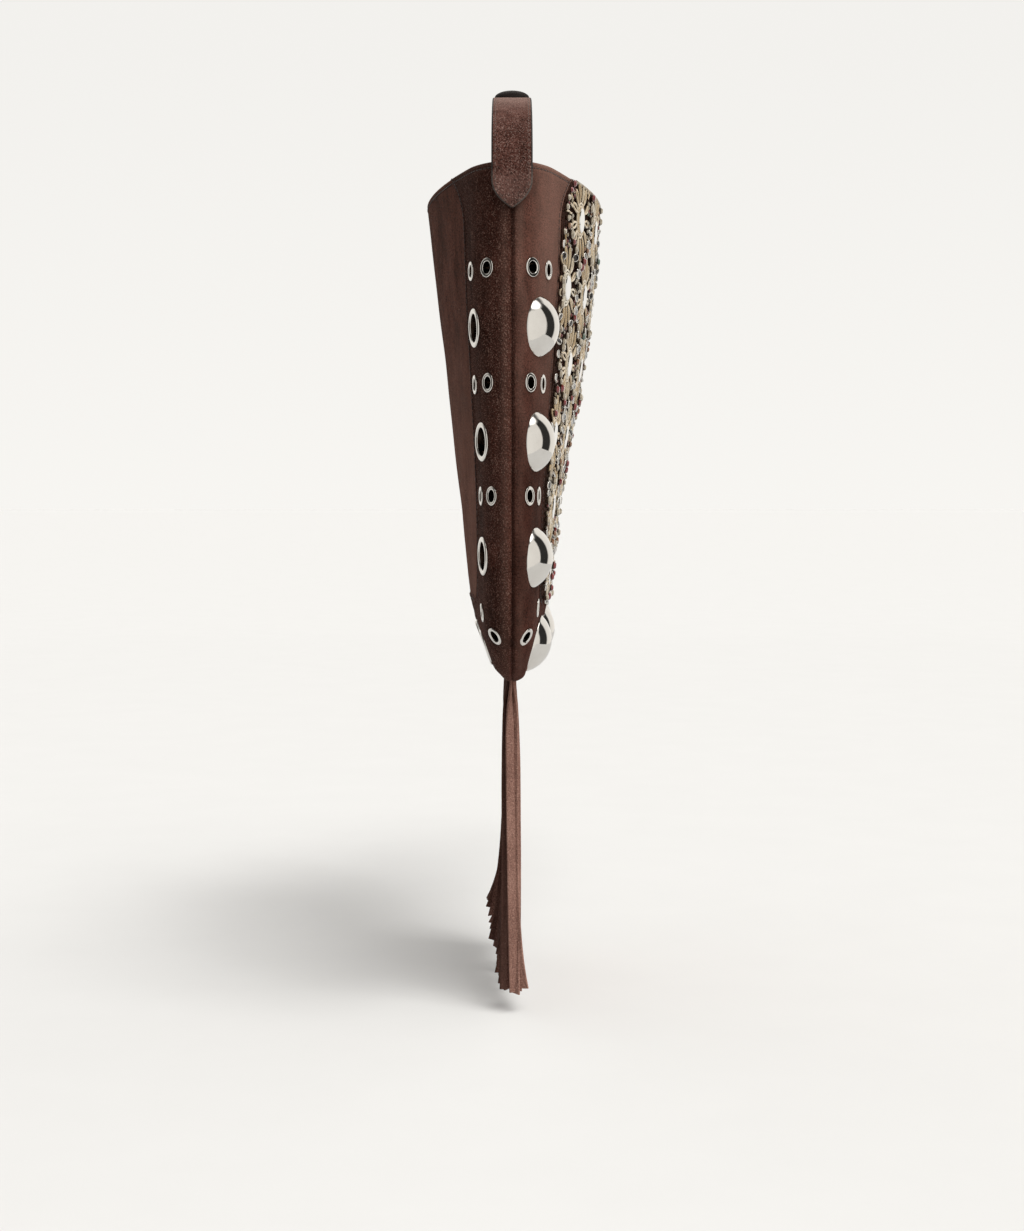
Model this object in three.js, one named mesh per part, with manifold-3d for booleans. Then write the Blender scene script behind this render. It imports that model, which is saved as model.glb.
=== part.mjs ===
// Fringe shoulder bag: a soft suede wedge with eyelets, dome studs, a beaded front panel,
// a short strap arched over the mouth and a fringe along the bottom seam.
// Millimetres, +Z up, +X along the width of the bag, the beaded front faces -Y.
// The origin is the underside of the strap's crown, where the bag hangs.
import * as THREE from 'three';
import { mergeVertices } from 'three/addons/utils/BufferGeometryUtils.js';
import Module from 'manifold-3d';

const wasm = await Module();
wasm.setup();

// Clearance between neighbouring pieces
const GAP = 0.3;

// Body outline, seen from the front
const HALF_WIDTH = 170;
const RIM_Z = -50;
const BODY_HEIGHT = 266;
const CORNER_RADIUS = 82;
const BOTTOM_Z = RIM_Z - BODY_HEIGHT;
const CORNER_Z = BOTTOM_Z + CORNER_RADIUS;
const FLAT_HALF = HALF_WIDTH - CORNER_RADIUS;

// Walls
const WALL = 1.8;
const BORDER_WIDTH = 50;
const BORDER_FLARE = 24;
const BORDER_FLARE_DEPTH = 26;
const FLARE_CURVE = 2;
const PANEL_EASE = 3;
const BEAD_BED = 1.6;
const SHOULDER_ROUND = 24;
const BOW = 1.6;

// Hardware on each half of the bag: how far down the side, round the corner (radians) or from the middle
// of the bottom, then how far in from the seam on the front and on the back
const HARDWARE_PLACES = [
  { kind: 'side', amount: 80.9, front: 21, back: 31 },
  { kind: 'side', amount: 138.6, front: 21, back: 24.5 },
  { kind: 'corner', amount: 0.202, front: 21, back: 25.5 },
  { kind: 'corner', amount: 1.449, front: 25, back: 24 },
  { kind: 'bottom', amount: 31.7, front: 25, back: 24 },
];
const DOME_RADIUS = 15.5;
const DOME_HEIGHT = 9;
const DOME_SKIRT = 2.2;
const EYELET_RADIUS = 10;
const EYELET_HOLE = 7.2;
const EYELET_BARREL = 8;
const EYELET_LIP = 1.8;
const EYELET_ROUND = 1;
const ROD_REACH = 6;
const DOME_SIDES = 12;
const RING_SIDES = 10;

// Mirrors of the embroidery: rows measured down from the rim
const MIRROR_RADIUS = 6.5;
const MIRROR_PROUD = 1.2;
const MIRROR_SEAT = 0.45;
const MIRROR_COLUMN_PITCH = 52;
const MIRROR_ROWS = [
  { below: 19.5, count: 5, shift: 13 },
  { below: 57.5, count: 5, shift: -13 },
  { below: 95.5, count: 5, shift: 13 },
  { below: 133.5, count: 5, shift: -13 },
  { below: 171.5, count: 5, shift: 13 },
  { below: 207.5, count: 4, shift: 0 },
];

// Strap
const STRAP_WIDTH = 20.5;
const STRAP_THICKNESS = 3;
const TAB_LENGTH = 23.5;
const TAB_POINT = 14;
const TAB_BLUNT = 0.8;
const TAB_CURVE = 2.2;
const TAB_POINT_STEPS = [0, 2, 5, 9, TAB_POINT];
const GRIP_HALF_LENGTH = 66;
const GRIP_WIDTH = 19;
const GRIP_HEIGHT = 6;
const GRIP_EDGE = 0.8;
const GRIP_END_FILL = 0.3;
const GRIP_END_SQUARE = 8;
const GRIP_END_WIDER = 0.2;

// Fringe
const FRINGE_HALF_LENGTH = 84;
const FRINGE_HEAD_HALF = 1.6;
const FRINGE_HEAD_ABOVE = 12;
const FRINGE_HEAD_BELOW = 3;
const STRIPS_PER_LAYER = 16;
const STRIP_WIDTH = 4.7;
const STRIP_THICKNESS = 1.4;
const STRIP_NEAR_LENGTH = 172;
const STRIP_FAR_LENGTH = 152;
const STRIP_UNEVEN = 2;
const STRIP_SPLAY = 1.4;
const STRIP_SWAY = 4;
const STRIP_LEAN = 2.5;
const STRIP_TWIST = 0.9;
const STRIP_BEND = 1.7;
const STRIP_OVERLAP = 1.5;
const LAYER_OFFSET = 0.8;
// Steps of the wave that makes each strip lie differently: by strip, by layer and by use
const WAVE_STEPS = { strip: 2.399, layer: 1.3, use: 1.9 };

// Half depth of the body by distance below the rim: at mid width, and of the rounded shoulders
// beside the side seams, from which each face runs nearly straight to mid width.
const SECTIONS = [
  { below: 0, front: 48.5, back: 49, frontShoulder: 13, backShoulder: 14 },
  { below: 52.5, front: 44.1, back: 43.1, frontShoulder: 12.5, backShoulder: 14 },
  { below: 108.5, front: 36, back: 36.6, frontShoulder: 10.5, backShoulder: 12.7 },
  { below: 165.5, front: 25.8, back: 30.5, frontShoulder: 10.2, backShoulder: 11.4 },
  { below: 223.5, front: 18.9, back: 23.9, frontShoulder: 10.8, backShoulder: 12.4 },
  { below: 235.5, front: 17.5, back: 20.8, frontShoulder: 10.6, backShoulder: 12.2 },
  { below: 245.5, front: 14.5, back: 17.2, frontShoulder: 9.6, backShoulder: 11 },
  { below: 257.5, front: 9.5, back: 11, frontShoulder: 7, backShoulder: 7.8 },
  { below: 266, front: 4, back: 4, frontShoulder: 3.6, backShoulder: 3.6 },
];

const FRONT = { side: -1, depth: 'front', shoulder: 'frontShoulder' };
const BACK = { side: 1, depth: 'back', shoulder: 'backShoulder' };

// Mesh detail
const SIDE_STEPS = 7;
const CORNER_STEPS = 6;
const BOTTOM_STEPS = 8;
const BORDER_COLUMNS = [0, 4, 12, 24, 36, BORDER_WIDTH];
const ARCH_STEPS = 28;
const STRIP_STEPS = 5;
const WALK_STEP = 0.25;
const SLOPE_STEP = 0.4;
const GRIP_STEPS = 10;
const GRIP_SLICES = 6;
const DOME_STEPS = 4;

const MATERIALS = {
  suede: new THREE.MeshStandardMaterial({ color: 0x5a3d37, roughness: 0.95, metalness: 0 }),
  strap: new THREE.MeshStandardMaterial({ color: 0x6b4a42, roughness: 0.95, metalness: 0 }),
  fringe: new THREE.MeshStandardMaterial({ color: 0x7a5449, roughness: 0.95, metalness: 0 }),
  beads: new THREE.MeshStandardMaterial({ color: 0xb9a98c, roughness: 0.45, metalness: 0.4 }),
  leather: new THREE.MeshStandardMaterial({ color: 0x241815, roughness: 0.5, metalness: 0 }),
  nickel: new THREE.MeshStandardMaterial({ color: 0xd9d6d0, roughness: 0.12, metalness: 1 }),
  mirror: new THREE.MeshStandardMaterial({ color: 0xf0f0ee, roughness: 0.05, metalness: 1 }),
};

const group = new THREE.Group();

function addPiece(name, geometry, material) {
  const mesh = new THREE.Mesh(geometry, material);
  mesh.name = name;
  group.add(mesh);
  return mesh;
}

// Solids

function signedVolume(positions, triangles) {
  const a = new THREE.Vector3();
  const b = new THREE.Vector3();
  const c = new THREE.Vector3();
  let volume = 0;
  for (let i = 0; i < triangles.length; i += 3) {
    a.fromArray(positions, triangles[i] * 3);
    b.fromArray(positions, triangles[i + 1] * 3);
    c.fromArray(positions, triangles[i + 2] * 3);
    volume += a.dot(b.cross(c)) / 6;
  }
  return volume;
}

function toSolid(geometry) {
  const bare = new THREE.BufferGeometry();
  bare.setAttribute('position', geometry.getAttribute('position'));
  bare.setIndex(geometry.getIndex());
  const merged = mergeVertices(bare, 1e-4);
  const index = merged.getIndex().array;
  const kept = [];
  for (let i = 0; i < index.length; i += 3) {
    const [p, q, r] = [index[i], index[i + 1], index[i + 2]];
    if (p !== q && q !== r && r !== p) kept.push(p, q, r);
  }
  const positions = new Float32Array(merged.getAttribute('position').array);
  if (signedVolume(positions, kept) < 0) kept.reverse();
  const mesh = new wasm.Mesh({ numProp: 3, vertProperties: positions, triVerts: new Uint32Array(kept) });
  return new wasm.Manifold(mesh);
}

function toGeometry(solid) {
  const mesh = solid.getMesh();
  const geometry = new THREE.BufferGeometry();
  geometry.setAttribute('position', new THREE.BufferAttribute(mesh.vertProperties, 3));
  geometry.setIndex(new THREE.BufferAttribute(mesh.triVerts, 1));
  geometry.computeVertexNormals();
  return geometry;
}

// Closed solid between two grids of points that lie face to face
function wallBetween(outer, inner) {
  const rows = outer.length;
  const columns = outer[0].length;
  const positions = [];
  for (const grid of [outer, inner]) {
    for (const row of grid) {
      for (const point of row) positions.push(point.x, point.y, point.z);
    }
  }
  const at = (layer, row, column) => (layer * rows + row) * columns + column;
  const triangles = [];
  const quad = (a, b, c, d) => triangles.push(a, b, c, a, c, d);
  for (let i = 0; i < rows - 1; i += 1) {
    for (let j = 0; j < columns - 1; j += 1) {
      quad(at(0, i, j), at(0, i + 1, j), at(0, i + 1, j + 1), at(0, i, j + 1));
      quad(at(1, i, j), at(1, i, j + 1), at(1, i + 1, j + 1), at(1, i + 1, j));
    }
    quad(at(0, i, 0), at(1, i, 0), at(1, i + 1, 0), at(0, i + 1, 0));
    const last = columns - 1;
    quad(at(0, i, last), at(0, i + 1, last), at(1, i + 1, last), at(1, i, last));
  }
  for (let j = 0; j < columns - 1; j += 1) {
    quad(at(0, 0, j), at(0, 0, j + 1), at(1, 0, j + 1), at(1, 0, j));
    const last = rows - 1;
    quad(at(0, last, j), at(1, last, j), at(1, last, j + 1), at(0, last, j + 1));
  }
  const geometry = new THREE.BufferGeometry();
  geometry.setAttribute('position', new THREE.Float32BufferAttribute(positions, 3));
  geometry.setIndex(triangles);
  return toSolid(geometry);
}

// Turned solid whose axis is +Z, moved so that its origin sits at a point with +Z along a normal
function turnedAt(profile, sides, place) {
  const points = profile.map(([radius, height]) => new THREE.Vector2(radius, height));
  const geometry = new THREE.LatheGeometry(points, sides);
  geometry.rotateX(Math.PI / 2);
  const up = new THREE.Vector3(0, 0, 1);
  geometry.applyQuaternion(new THREE.Quaternion().setFromUnitVectors(up, place.normal));
  geometry.translate(place.point.x, place.point.y, place.point.z);
  return toSolid(geometry);
}

// Body surface

function lookUp(column, below) {
  const last = SECTIONS.length - 1;
  const depth = Math.min(Math.max(below, 0), BODY_HEIGHT);
  let k = 0;
  while (k < last - 1 && depth > SECTIONS[k + 1].below) k += 1;
  const slope = (i) => {
    const step = SECTIONS[i + 1].below - SECTIONS[i].below;
    return (SECTIONS[i + 1][column] - SECTIONS[i][column]) / step;
  };
  const tangent = (i) => {
    if (i === 0) return slope(0);
    if (i === last) return slope(last - 1);
    const [before, after] = [slope(i - 1), slope(i)];
    return before * after <= 0 ? 0 : (2 * before * after) / (before + after);
  };
  const step = SECTIONS[k + 1].below - SECTIONS[k].below;
  const t = (depth - SECTIONS[k].below) / step;
  const start = SECTIONS[k][column] * (2 * t ** 3 - 3 * t ** 2 + 1);
  const end = SECTIONS[k + 1][column] * (3 * t ** 2 - 2 * t ** 3);
  const bend = tangent(k) * (t ** 3 - 2 * t ** 2 + t) + tangent(k + 1) * (t ** 3 - t ** 2);
  return start + end + bend * step;
}

function halfWidthAt(z) {
  const drop = Math.min(Math.max(CORNER_Z - z, 0), CORNER_RADIUS);
  return FLAT_HALF + Math.sqrt(CORNER_RADIUS ** 2 - drop ** 2);
}

// Half depth of one face at a place seen from the front
function depthAt(face, x, z) {
  const below = RIM_Z - z;
  const half = halfWidthAt(z);
  const inside = Math.max(half - Math.abs(x), 0);
  const shoulder = lookUp(face.shoulder, below);
  const round = Math.min(1, inside / SHOULDER_ROUND);
  const crown = 1 - (1 - inside / half) ** BOW;
  return shoulder * Math.sqrt(1 - (1 - round) ** 2) + (lookUp(face.depth, below) - shoulder) * crown;
}

function placeOn(face, x, z, lift = 0) {
  const h = SLOPE_STEP;
  const low = Math.max(z - h, BOTTOM_Z);
  const high = Math.min(z + h, RIM_Z);
  const slopeX = (depthAt(face, x + h, z) - depthAt(face, x - h, z)) / (2 * h);
  const slopeZ = (depthAt(face, x, high) - depthAt(face, x, low)) / (high - low);
  const normal = new THREE.Vector3(-slopeX, face.side, -slopeZ).normalize();
  const point = new THREE.Vector3(x, face.side * depthAt(face, x, z), z);
  point.addScaledVector(normal, lift);
  return { point, normal, onRim: z > RIM_Z - WALK_STEP };
}

// Seam

const SIDE_RUN = RIM_Z - CORNER_Z;

function seamAt(kind, amount, side) {
  if (kind === 'side') {
    return { x: side * HALF_WIDTH, z: RIM_Z - amount, inX: -side, inZ: 0 };
  }
  if (kind === 'corner') {
    const [c, s] = [Math.cos(amount), Math.sin(amount)];
    const x = side * (FLAT_HALF + CORNER_RADIUS * c);
    return { x, z: CORNER_Z - CORNER_RADIUS * s, inX: -side * c, inZ: s };
  }
  return { x: side * amount, z: BOTTOM_Z, inX: 0, inZ: 1 };
}

// Goes in from the seam over the surface, and gives the place that far along it
function stepIn(face, seam, distance) {
  let gone = 0;
  let travelled = 0;
  let y = depthAt(face, seam.x, seam.z);
  while (travelled < distance) {
    gone += WALK_STEP;
    const next = depthAt(face, seam.x + seam.inX * gone, seam.z + seam.inZ * gone);
    const stride = Math.hypot(WALK_STEP, next - y);
    if (travelled + stride > distance) {
      gone -= WALK_STEP * (1 - (distance - travelled) / stride);
      break;
    }
    travelled += stride;
    y = next;
  }
  return { x: seam.x + seam.inX * gone, z: seam.z + seam.inZ * gone };
}

function sideStations(side) {
  const stations = [];
  for (let i = 0; i < SIDE_STEPS; i += 1) {
    stations.push(seamAt('side', (SIDE_RUN * i) / SIDE_STEPS, side));
  }
  for (let i = 0; i <= CORNER_STEPS; i += 1) {
    stations.push(seamAt('corner', ((Math.PI / 2) * i) / CORNER_STEPS, side));
  }
  return stations;
}

// The border widens at the rim, round the upper corners of the panel
function borderWidthAt(z) {
  const near = Math.max(1 - (RIM_Z - z) / BORDER_FLARE_DEPTH, 0);
  return BORDER_WIDTH + BORDER_FLARE * near ** FLARE_CURVE;
}

function borderStations() {
  const bottom = [];
  for (let i = 1; i < BOTTOM_STEPS; i += 1) {
    bottom.push(seamAt('bottom', FLAT_HALF * ((2 * i) / BOTTOM_STEPS - 1), 1));
  }
  return [...sideStations(-1), ...bottom, ...sideStations(1).reverse()];
}

// Wall pieces

// A point of the wall moved along its normal, kept on its own side of the seam plane and of the rim
function shifted(face, place, lift) {
  const point = place.point.clone().addScaledVector(place.normal, lift);
  if (place.onRim) point.z = place.point.z;
  point.y = face.side * Math.max(face.side * point.y, GAP / 2);
  return point;
}

function borderGrid(face, lift) {
  return borderStations().map((seam) => BORDER_COLUMNS.map((distance) => {
    const reach = distance * (borderWidthAt(seam.z) / BORDER_WIDTH);
    const spot = stepIn(face, seam, reach);
    const place = placeOn(face, spot.x, spot.z);
    if (distance === 0 && seam.inX !== 0) {
      place.normal.set(-seam.inX, 0, -seam.inZ);
    }
    return shifted(face, place, lift);
  }));
}

function borderWall(face, lift, depth) {
  return wallBetween(borderGrid(face, lift), borderGrid(face, -depth));
}

// Rows of the panel go down from the rim and ease into the lower edge, which follows the border
function panelGrid(face, lift) {
  const edges = sideStations(1).map((seam) => stepIn(face, seam, borderWidthAt(seam.z) + GAP));
  const lowest = edges[edges.length - 1];
  return edges.map((edge) => {
    const ease = ((RIM_Z - edge.z) / (RIM_Z - lowest.z)) ** PANEL_EASE;
    const row = [];
    for (let j = 0; j <= BOTTOM_STEPS; j += 1) {
      const across = (2 * j) / BOTTOM_STEPS - 1;
      const below = stepIn(face, seamAt('bottom', FLAT_HALF * across, 1), BORDER_WIDTH + GAP);
      const z = edge.z + (below.z - lowest.z) * ease;
      row.push(shifted(face, placeOn(face, edge.x * across, z), lift));
    }
    return row;
  });
}

function panelWall(face, lift, depth) {
  return wallBetween(panelGrid(face, lift), panelGrid(face, -depth));
}

// Hardware places

function bigPlaces(face) {
  const onHalf = (side) => HARDWARE_PLACES.map((row) => {
    const spot = stepIn(face, seamAt(row.kind, row.amount, side), row[face.depth]);
    return placeOn(face, spot.x, spot.z);
  });
  return [...onHalf(-1), ...onHalf(1).reverse()];
}

const numbered = (name, i) => `${name}_${String(i + 1).padStart(2, '0')}`;

function rod(radius, place) {
  const ends = [[0, -ROD_REACH], [radius, -ROD_REACH], [radius, ROD_REACH], [0, ROD_REACH]];
  return turnedAt(ends, RING_SIDES, place);
}

// Dome studs: a cap of a sphere, seated on the curved border
function domeProfile() {
  const ball = (DOME_RADIUS ** 2 + DOME_HEIGHT ** 2) / (2 * DOME_HEIGHT);
  const reach = Math.asin(DOME_RADIUS / ball);
  const profile = [[0, -DOME_SKIRT], [DOME_RADIUS, -DOME_SKIRT]];
  for (let i = 0; i <= DOME_STEPS; i += 1) {
    const angle = reach * (1 - i / DOME_STEPS);
    const radius = i === DOME_STEPS ? 0 : ball * Math.sin(angle);
    profile.push([radius, DOME_HEIGHT - ball + ball * Math.cos(angle)]);
  }
  return profile;
}

// Large eyelets: a rounded flange on the suede and a barrel that goes through it
function eyeletProfile() {
  return [
    [EYELET_HOLE, -WALL - GAP],
    [EYELET_BARREL, -WALL - GAP],
    [EYELET_BARREL, GAP],
    [EYELET_RADIUS, GAP],
    [EYELET_RADIUS - EYELET_ROUND, EYELET_LIP],
    [EYELET_HOLE + EYELET_ROUND / 2, EYELET_LIP],
    [EYELET_HOLE, EYELET_LIP - EYELET_ROUND / 2],
    [EYELET_HOLE, -WALL - GAP],
  ];
}

// Fringe: two layers of twisted strips fused to a head that is sewn in the bottom seam

function fringeHead(clear) {
  const height = FRINGE_HEAD_ABOVE + FRINGE_HEAD_BELOW + 2 * clear;
  const length = 2 * (FRINGE_HALF_LENGTH + clear);
  const box = new THREE.BoxGeometry(length, 2 * (FRINGE_HEAD_HALF + clear), height);
  box.translate(0, 0, BOTTOM_Z + (FRINGE_HEAD_ABOVE - FRINGE_HEAD_BELOW) / 2);
  return toSolid(box);
}

function stripSolid(x, layer, index) {
  const turned = index * WAVE_STEPS.strip + layer * WAVE_STEPS.layer;
  const wave = (use) => Math.sin(turned + use * WAVE_STEPS.use);
  const along = (x + FRINGE_HALF_LENGTH) / (2 * FRINGE_HALF_LENGTH);
  const cut = STRIP_NEAR_LENGTH + (STRIP_FAR_LENGTH - STRIP_NEAR_LENGTH) * along;
  const length = cut + STRIP_UNEVEN * wave(3);
  const swing = layer * STRIP_SPLAY + STRIP_SWAY * wave(1) + STRIP_LEAN;
  const twist = STRIP_TWIST * wave(2);
  const rings = [];
  for (let i = 0; i <= STRIP_STEPS; i += 1) {
    const t = i / STRIP_STEPS;
    const y = layer * LAYER_OFFSET + swing * t ** STRIP_BEND;
    const z = BOTTOM_Z - length * t + STRIP_OVERLAP * (1 - t);
    const centre = new THREE.Vector3(x, y, z);
    const turn = twist * t;
    const across = new THREE.Vector3(Math.cos(turn), Math.sin(turn), 0).multiplyScalar(STRIP_WIDTH / 2);
    const through = new THREE.Vector3(-Math.sin(turn), Math.cos(turn), 0);
    through.multiplyScalar(STRIP_THICKNESS / 2);
    rings.push({ centre, across, through });
  }
  const face = (side) => rings.map(({ centre, across, through }) => [-1, 1].map((edge) => (
    centre.clone().addScaledVector(across, edge).addScaledVector(through, side)
  )));
  return wallBetween(face(1), face(-1));
}

function fringeSolid() {
  let solid = fringeHead(0);
  const pitch = (2 * FRINGE_HALF_LENGTH) / (2 * STRIPS_PER_LAYER);
  for (let i = 0; i < 2 * STRIPS_PER_LAYER; i += 1) {
    const layer = i % 2 === 0 ? -1 : 1;
    solid = solid.add(stripSolid(-FRINGE_HALF_LENGTH + pitch * (i + 0.5), layer, i));
  }
  return solid;
}

// Strap: tab, arch over the mouth, tab

function strapPath() {
  const across = HALF_WIDTH + GAP + STRAP_THICKNESS / 2;
  const rise = -RIM_Z + STRAP_THICKNESS / 2;
  const tabZ = RIM_Z - TAB_LENGTH;
  const path = [];
  for (const toTip of TAB_POINT_STEPS) {
    path.push({ x: -across, z: tabZ + toTip, outX: -1, outZ: 0, toTip });
  }
  for (let i = 0; i <= ARCH_STEPS; i += 1) {
    const angle = Math.PI * (1 - i / ARCH_STEPS);
    const [c, s] = [Math.cos(angle), Math.sin(angle)];
    const size = Math.hypot(rise * c, across * s);
    const out = { outX: (rise * c) / size, outZ: (across * s) / size };
    path.push({ x: across * c, z: RIM_Z + rise * s, ...out, toTip: TAB_LENGTH });
  }
  for (const toTip of [...TAB_POINT_STEPS].reverse()) {
    path.push({ x: across, z: tabZ + toTip, outX: 1, outZ: 0, toTip });
  }
  return path;
}

// Half width of the strap by its distance from the tip of the pointed tab
function strapHalfWidth(toTip) {
  const rest = 1 - Math.min(toTip / TAB_POINT, 1);
  return TAB_BLUNT + (STRAP_WIDTH / 2 - TAB_BLUNT) * (1 - rest ** TAB_CURVE);
}

function strapSolid() {
  const side = (lift) => strapPath().map(({ x, z, outX, outZ, toTip }) => [-1, 0, 1].map((edge) => (
    new THREE.Vector3(x + outX * lift, edge * strapHalfWidth(toTip), z + outZ * lift)
  )));
  return wallBetween(side(STRAP_THICKNESS / 2), side(-STRAP_THICKNESS / 2));
}

// Grip: a domed pad that lies along the crown of the strap
function gripSolid() {
  const across = HALF_WIDTH + GAP + STRAP_THICKNESS;
  const rise = -RIM_Z + STRAP_THICKNESS;
  const rows = { top: [], base: [] };
  for (let i = 0; i <= GRIP_STEPS; i += 1) {
    const f = (2 * i) / GRIP_STEPS - 1;
    const x = GRIP_HALF_LENGTH * Math.sin((f * Math.PI) / 2);
    const body = Math.sqrt(1 - Math.min((x / GRIP_HALF_LENGTH) ** GRIP_END_SQUARE, 1));
    const fill = Math.max(body, GRIP_END_FILL);
    const halfWidth = (GRIP_WIDTH / 2) * Math.min(1, fill + GRIP_END_WIDER);
    const seat = RIM_Z + rise * Math.sqrt(1 - (x / across) ** 2) + GAP;
    const top = [];
    const base = [];
    for (let j = 0; j <= GRIP_SLICES; j += 1) {
      const angle = Math.PI * (1 - j / GRIP_SLICES);
      const y = halfWidth * Math.cos(angle);
      const crown = (GRIP_HEIGHT - GRIP_EDGE) * fill * Math.sin(angle);
      top.push(new THREE.Vector3(x, y, seat + GRIP_EDGE + crown));
      base.push(new THREE.Vector3(x, y, seat));
    }
    rows.top.push(top);
    rows.base.push(base);
  }
  return wallBetween(rows.top, rows.base);
}

// Assembly

function buildBorders() {
  const front = borderWall(FRONT, 0, WALL).subtract(fringeHead(GAP));
  addPiece('front_border', toGeometry(front), MATERIALS.suede);
  let back = borderWall(BACK, 0, WALL).subtract(fringeHead(GAP));
  for (const place of bigPlaces(BACK)) back = back.subtract(rod(EYELET_BARREL + GAP, place));
  addPiece('back_border', toGeometry(back), MATERIALS.suede);
}

function buildDomes() {
  const seat = borderWall(FRONT, GAP, DOME_SKIRT + 2 * GAP);
  bigPlaces(FRONT).forEach((place, i) => {
    const dome = turnedAt(domeProfile(), DOME_SIDES, place).subtract(seat);
    addPiece(numbered('dome_stud', i), toGeometry(dome), MATERIALS.nickel);
  });
}

function buildLargeEyelets() {
  bigPlaces(BACK).forEach((place, i) => {
    const eyelet = turnedAt(eyeletProfile(), RING_SIDES, place);
    addPiece(numbered('large_eyelet', i), toGeometry(eyelet), MATERIALS.nickel);
  });
}

function buildMirrors() {
  const profile = [[0, 0], [MIRROR_RADIUS, 0], [MIRROR_RADIUS, MIRROR_PROUD], [0, MIRROR_PROUD]];
  let made = 0;
  for (const { below, count, shift } of MIRROR_ROWS) {
    for (let i = 0; i < count; i += 1) {
      const x = shift + MIRROR_COLUMN_PITCH * (i - (count - 1) / 2);
      const place = placeOn(FRONT, x, RIM_Z - below, BEAD_BED + MIRROR_SEAT);
      const disc = turnedAt(profile, RING_SIDES, place);
      addPiece(numbered('mirror', made), toGeometry(disc), MATERIALS.mirror);
      made += 1;
    }
  }
}

buildBorders();
addPiece('front_panel', toGeometry(panelWall(FRONT, BEAD_BED, WALL)), MATERIALS.beads);
addPiece('back_panel', toGeometry(panelWall(BACK, 0, WALL)), MATERIALS.suede);
addPiece('strap', toGeometry(strapSolid()), MATERIALS.strap);
addPiece('strap_grip', toGeometry(gripSolid()), MATERIALS.leather);
addPiece('fringe', toGeometry(fringeSolid()), MATERIALS.fringe);
buildDomes();
buildLargeEyelets();
buildMirrors();

export default group;
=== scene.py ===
# Fringe shoulder bag of brown suede: the looks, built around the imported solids.
# Lengths here are millimetres in the frame of the solids, and meshes are made in metres.
import math
from collections import namedtuple

import bmesh
import bpy
import numpy as np
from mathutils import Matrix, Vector, kdtree


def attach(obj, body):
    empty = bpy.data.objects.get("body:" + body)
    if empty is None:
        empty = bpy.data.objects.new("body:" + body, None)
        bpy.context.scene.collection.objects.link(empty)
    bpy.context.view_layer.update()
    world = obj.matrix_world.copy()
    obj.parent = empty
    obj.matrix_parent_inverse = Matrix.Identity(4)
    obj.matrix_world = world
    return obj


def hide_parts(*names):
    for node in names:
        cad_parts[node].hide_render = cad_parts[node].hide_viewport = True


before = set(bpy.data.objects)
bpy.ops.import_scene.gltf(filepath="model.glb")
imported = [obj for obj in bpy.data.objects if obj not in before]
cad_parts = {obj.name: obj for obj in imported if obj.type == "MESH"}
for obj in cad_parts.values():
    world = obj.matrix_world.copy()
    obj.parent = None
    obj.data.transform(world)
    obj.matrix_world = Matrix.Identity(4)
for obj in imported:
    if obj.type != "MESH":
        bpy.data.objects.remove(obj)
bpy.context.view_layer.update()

MM = 0.001
TURNED_LEAST = 0.01
RNG = np.random.default_rng(7)

# Body outline, as in the solids
GAP = 0.3
PANEL_GAP = 0.06
HALF_WIDTH = 170.0
RIM_Z = -50.0
BODY_HEIGHT = 266.0
CORNER_RADIUS = 82.0
BOTTOM_Z = RIM_Z - BODY_HEIGHT
CORNER_Z = BOTTOM_Z + CORNER_RADIUS
FLAT_HALF = HALF_WIDTH - CORNER_RADIUS
WALL = 1.8
BORDER_WIDTH = 50.0
BORDER_FLARE = 24.0
BORDER_FLARE_DEPTH = 26.0
SHOULDER_ROUND = 24.0
BOW = 1.6
SLOPE_STEP = 0.4
WALK_STEP = 0.25
WALK_REACH = 100.0

# Below the rim, then half depths: front, back, front shoulder, back shoulder
SECTIONS = np.array([
    (0.0, 48.5, 49.0, 13.0, 14.0),
    (52.5, 44.1, 43.1, 12.5, 14.0),
    (108.5, 36.0, 36.6, 10.5, 12.7),
    (165.5, 25.8, 30.5, 10.2, 11.4),
    (223.5, 18.9, 23.9, 10.8, 12.4),
    (235.5, 17.5, 20.8, 10.6, 12.2),
    (245.5, 14.5, 17.2, 9.6, 11.0),
    (257.5, 9.5, 11.0, 7.0, 7.8),
    (266.0, 4.0, 4.0, 3.6, 3.6),
])

# Suede edges
SEAM_GROOVE = 2.4
SEAM_GROOVE_WIDTH = 1.5
RIM_ROUND = 1.1
RIM_FOLD = 0.9
RIM_FOLD_DEPTH = 11.0
RIM_STITCH = 2.8
EDGE_ROUND = 0.6
EDGE_STITCH = 2.4
EDGE_PROUD = 0.45
PANEL_SUNK = 0.25
STITCH_GROOVE = 0.35
BORDER_STEP = 1.6
PANEL_STEP = 1.7
GROUND_STEP = 2.6
PANEL_CROWD = 0.98 * math.pi / 2
PANEL_EASE = 3
FOLD_BLEND = 1.5
SEAM_SWELL = 0.5
SEAM_SWELL_PLACE = 4.2
SEAM_SWELL_WIDTH = 2.4
BOTTOM_LIP = 1.2
PROUD_BAND = (0.5, 5.5)

# Where the points of the suede stand close together, and where they are even again
NEAR_RIM = np.array([0, 0.25, 0.6, 1.0, 1.5, 2.0, 2.4, 2.8, 3.2, 3.7, 4.5])
EVEN_FROM_RIM = 6.0
NEAR_SEAM = np.array([0, 0.15, 0.35, 0.6, 0.9, 1.25, 1.7, 2.2, 2.8, 3.6, 4.6])
NEAR_EDGE = np.array([5.2, 4.4, 3.7, 3.1, 2.7, 2.4, 2.1, 1.6, 1.1, 0.7, 0.4, 0.18, 0.05, 0])
EVEN_FROM_SEAM = 5.8
EVEN_FROM_EDGE = 6.2
EVEN_COLUMNS = 31

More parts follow.
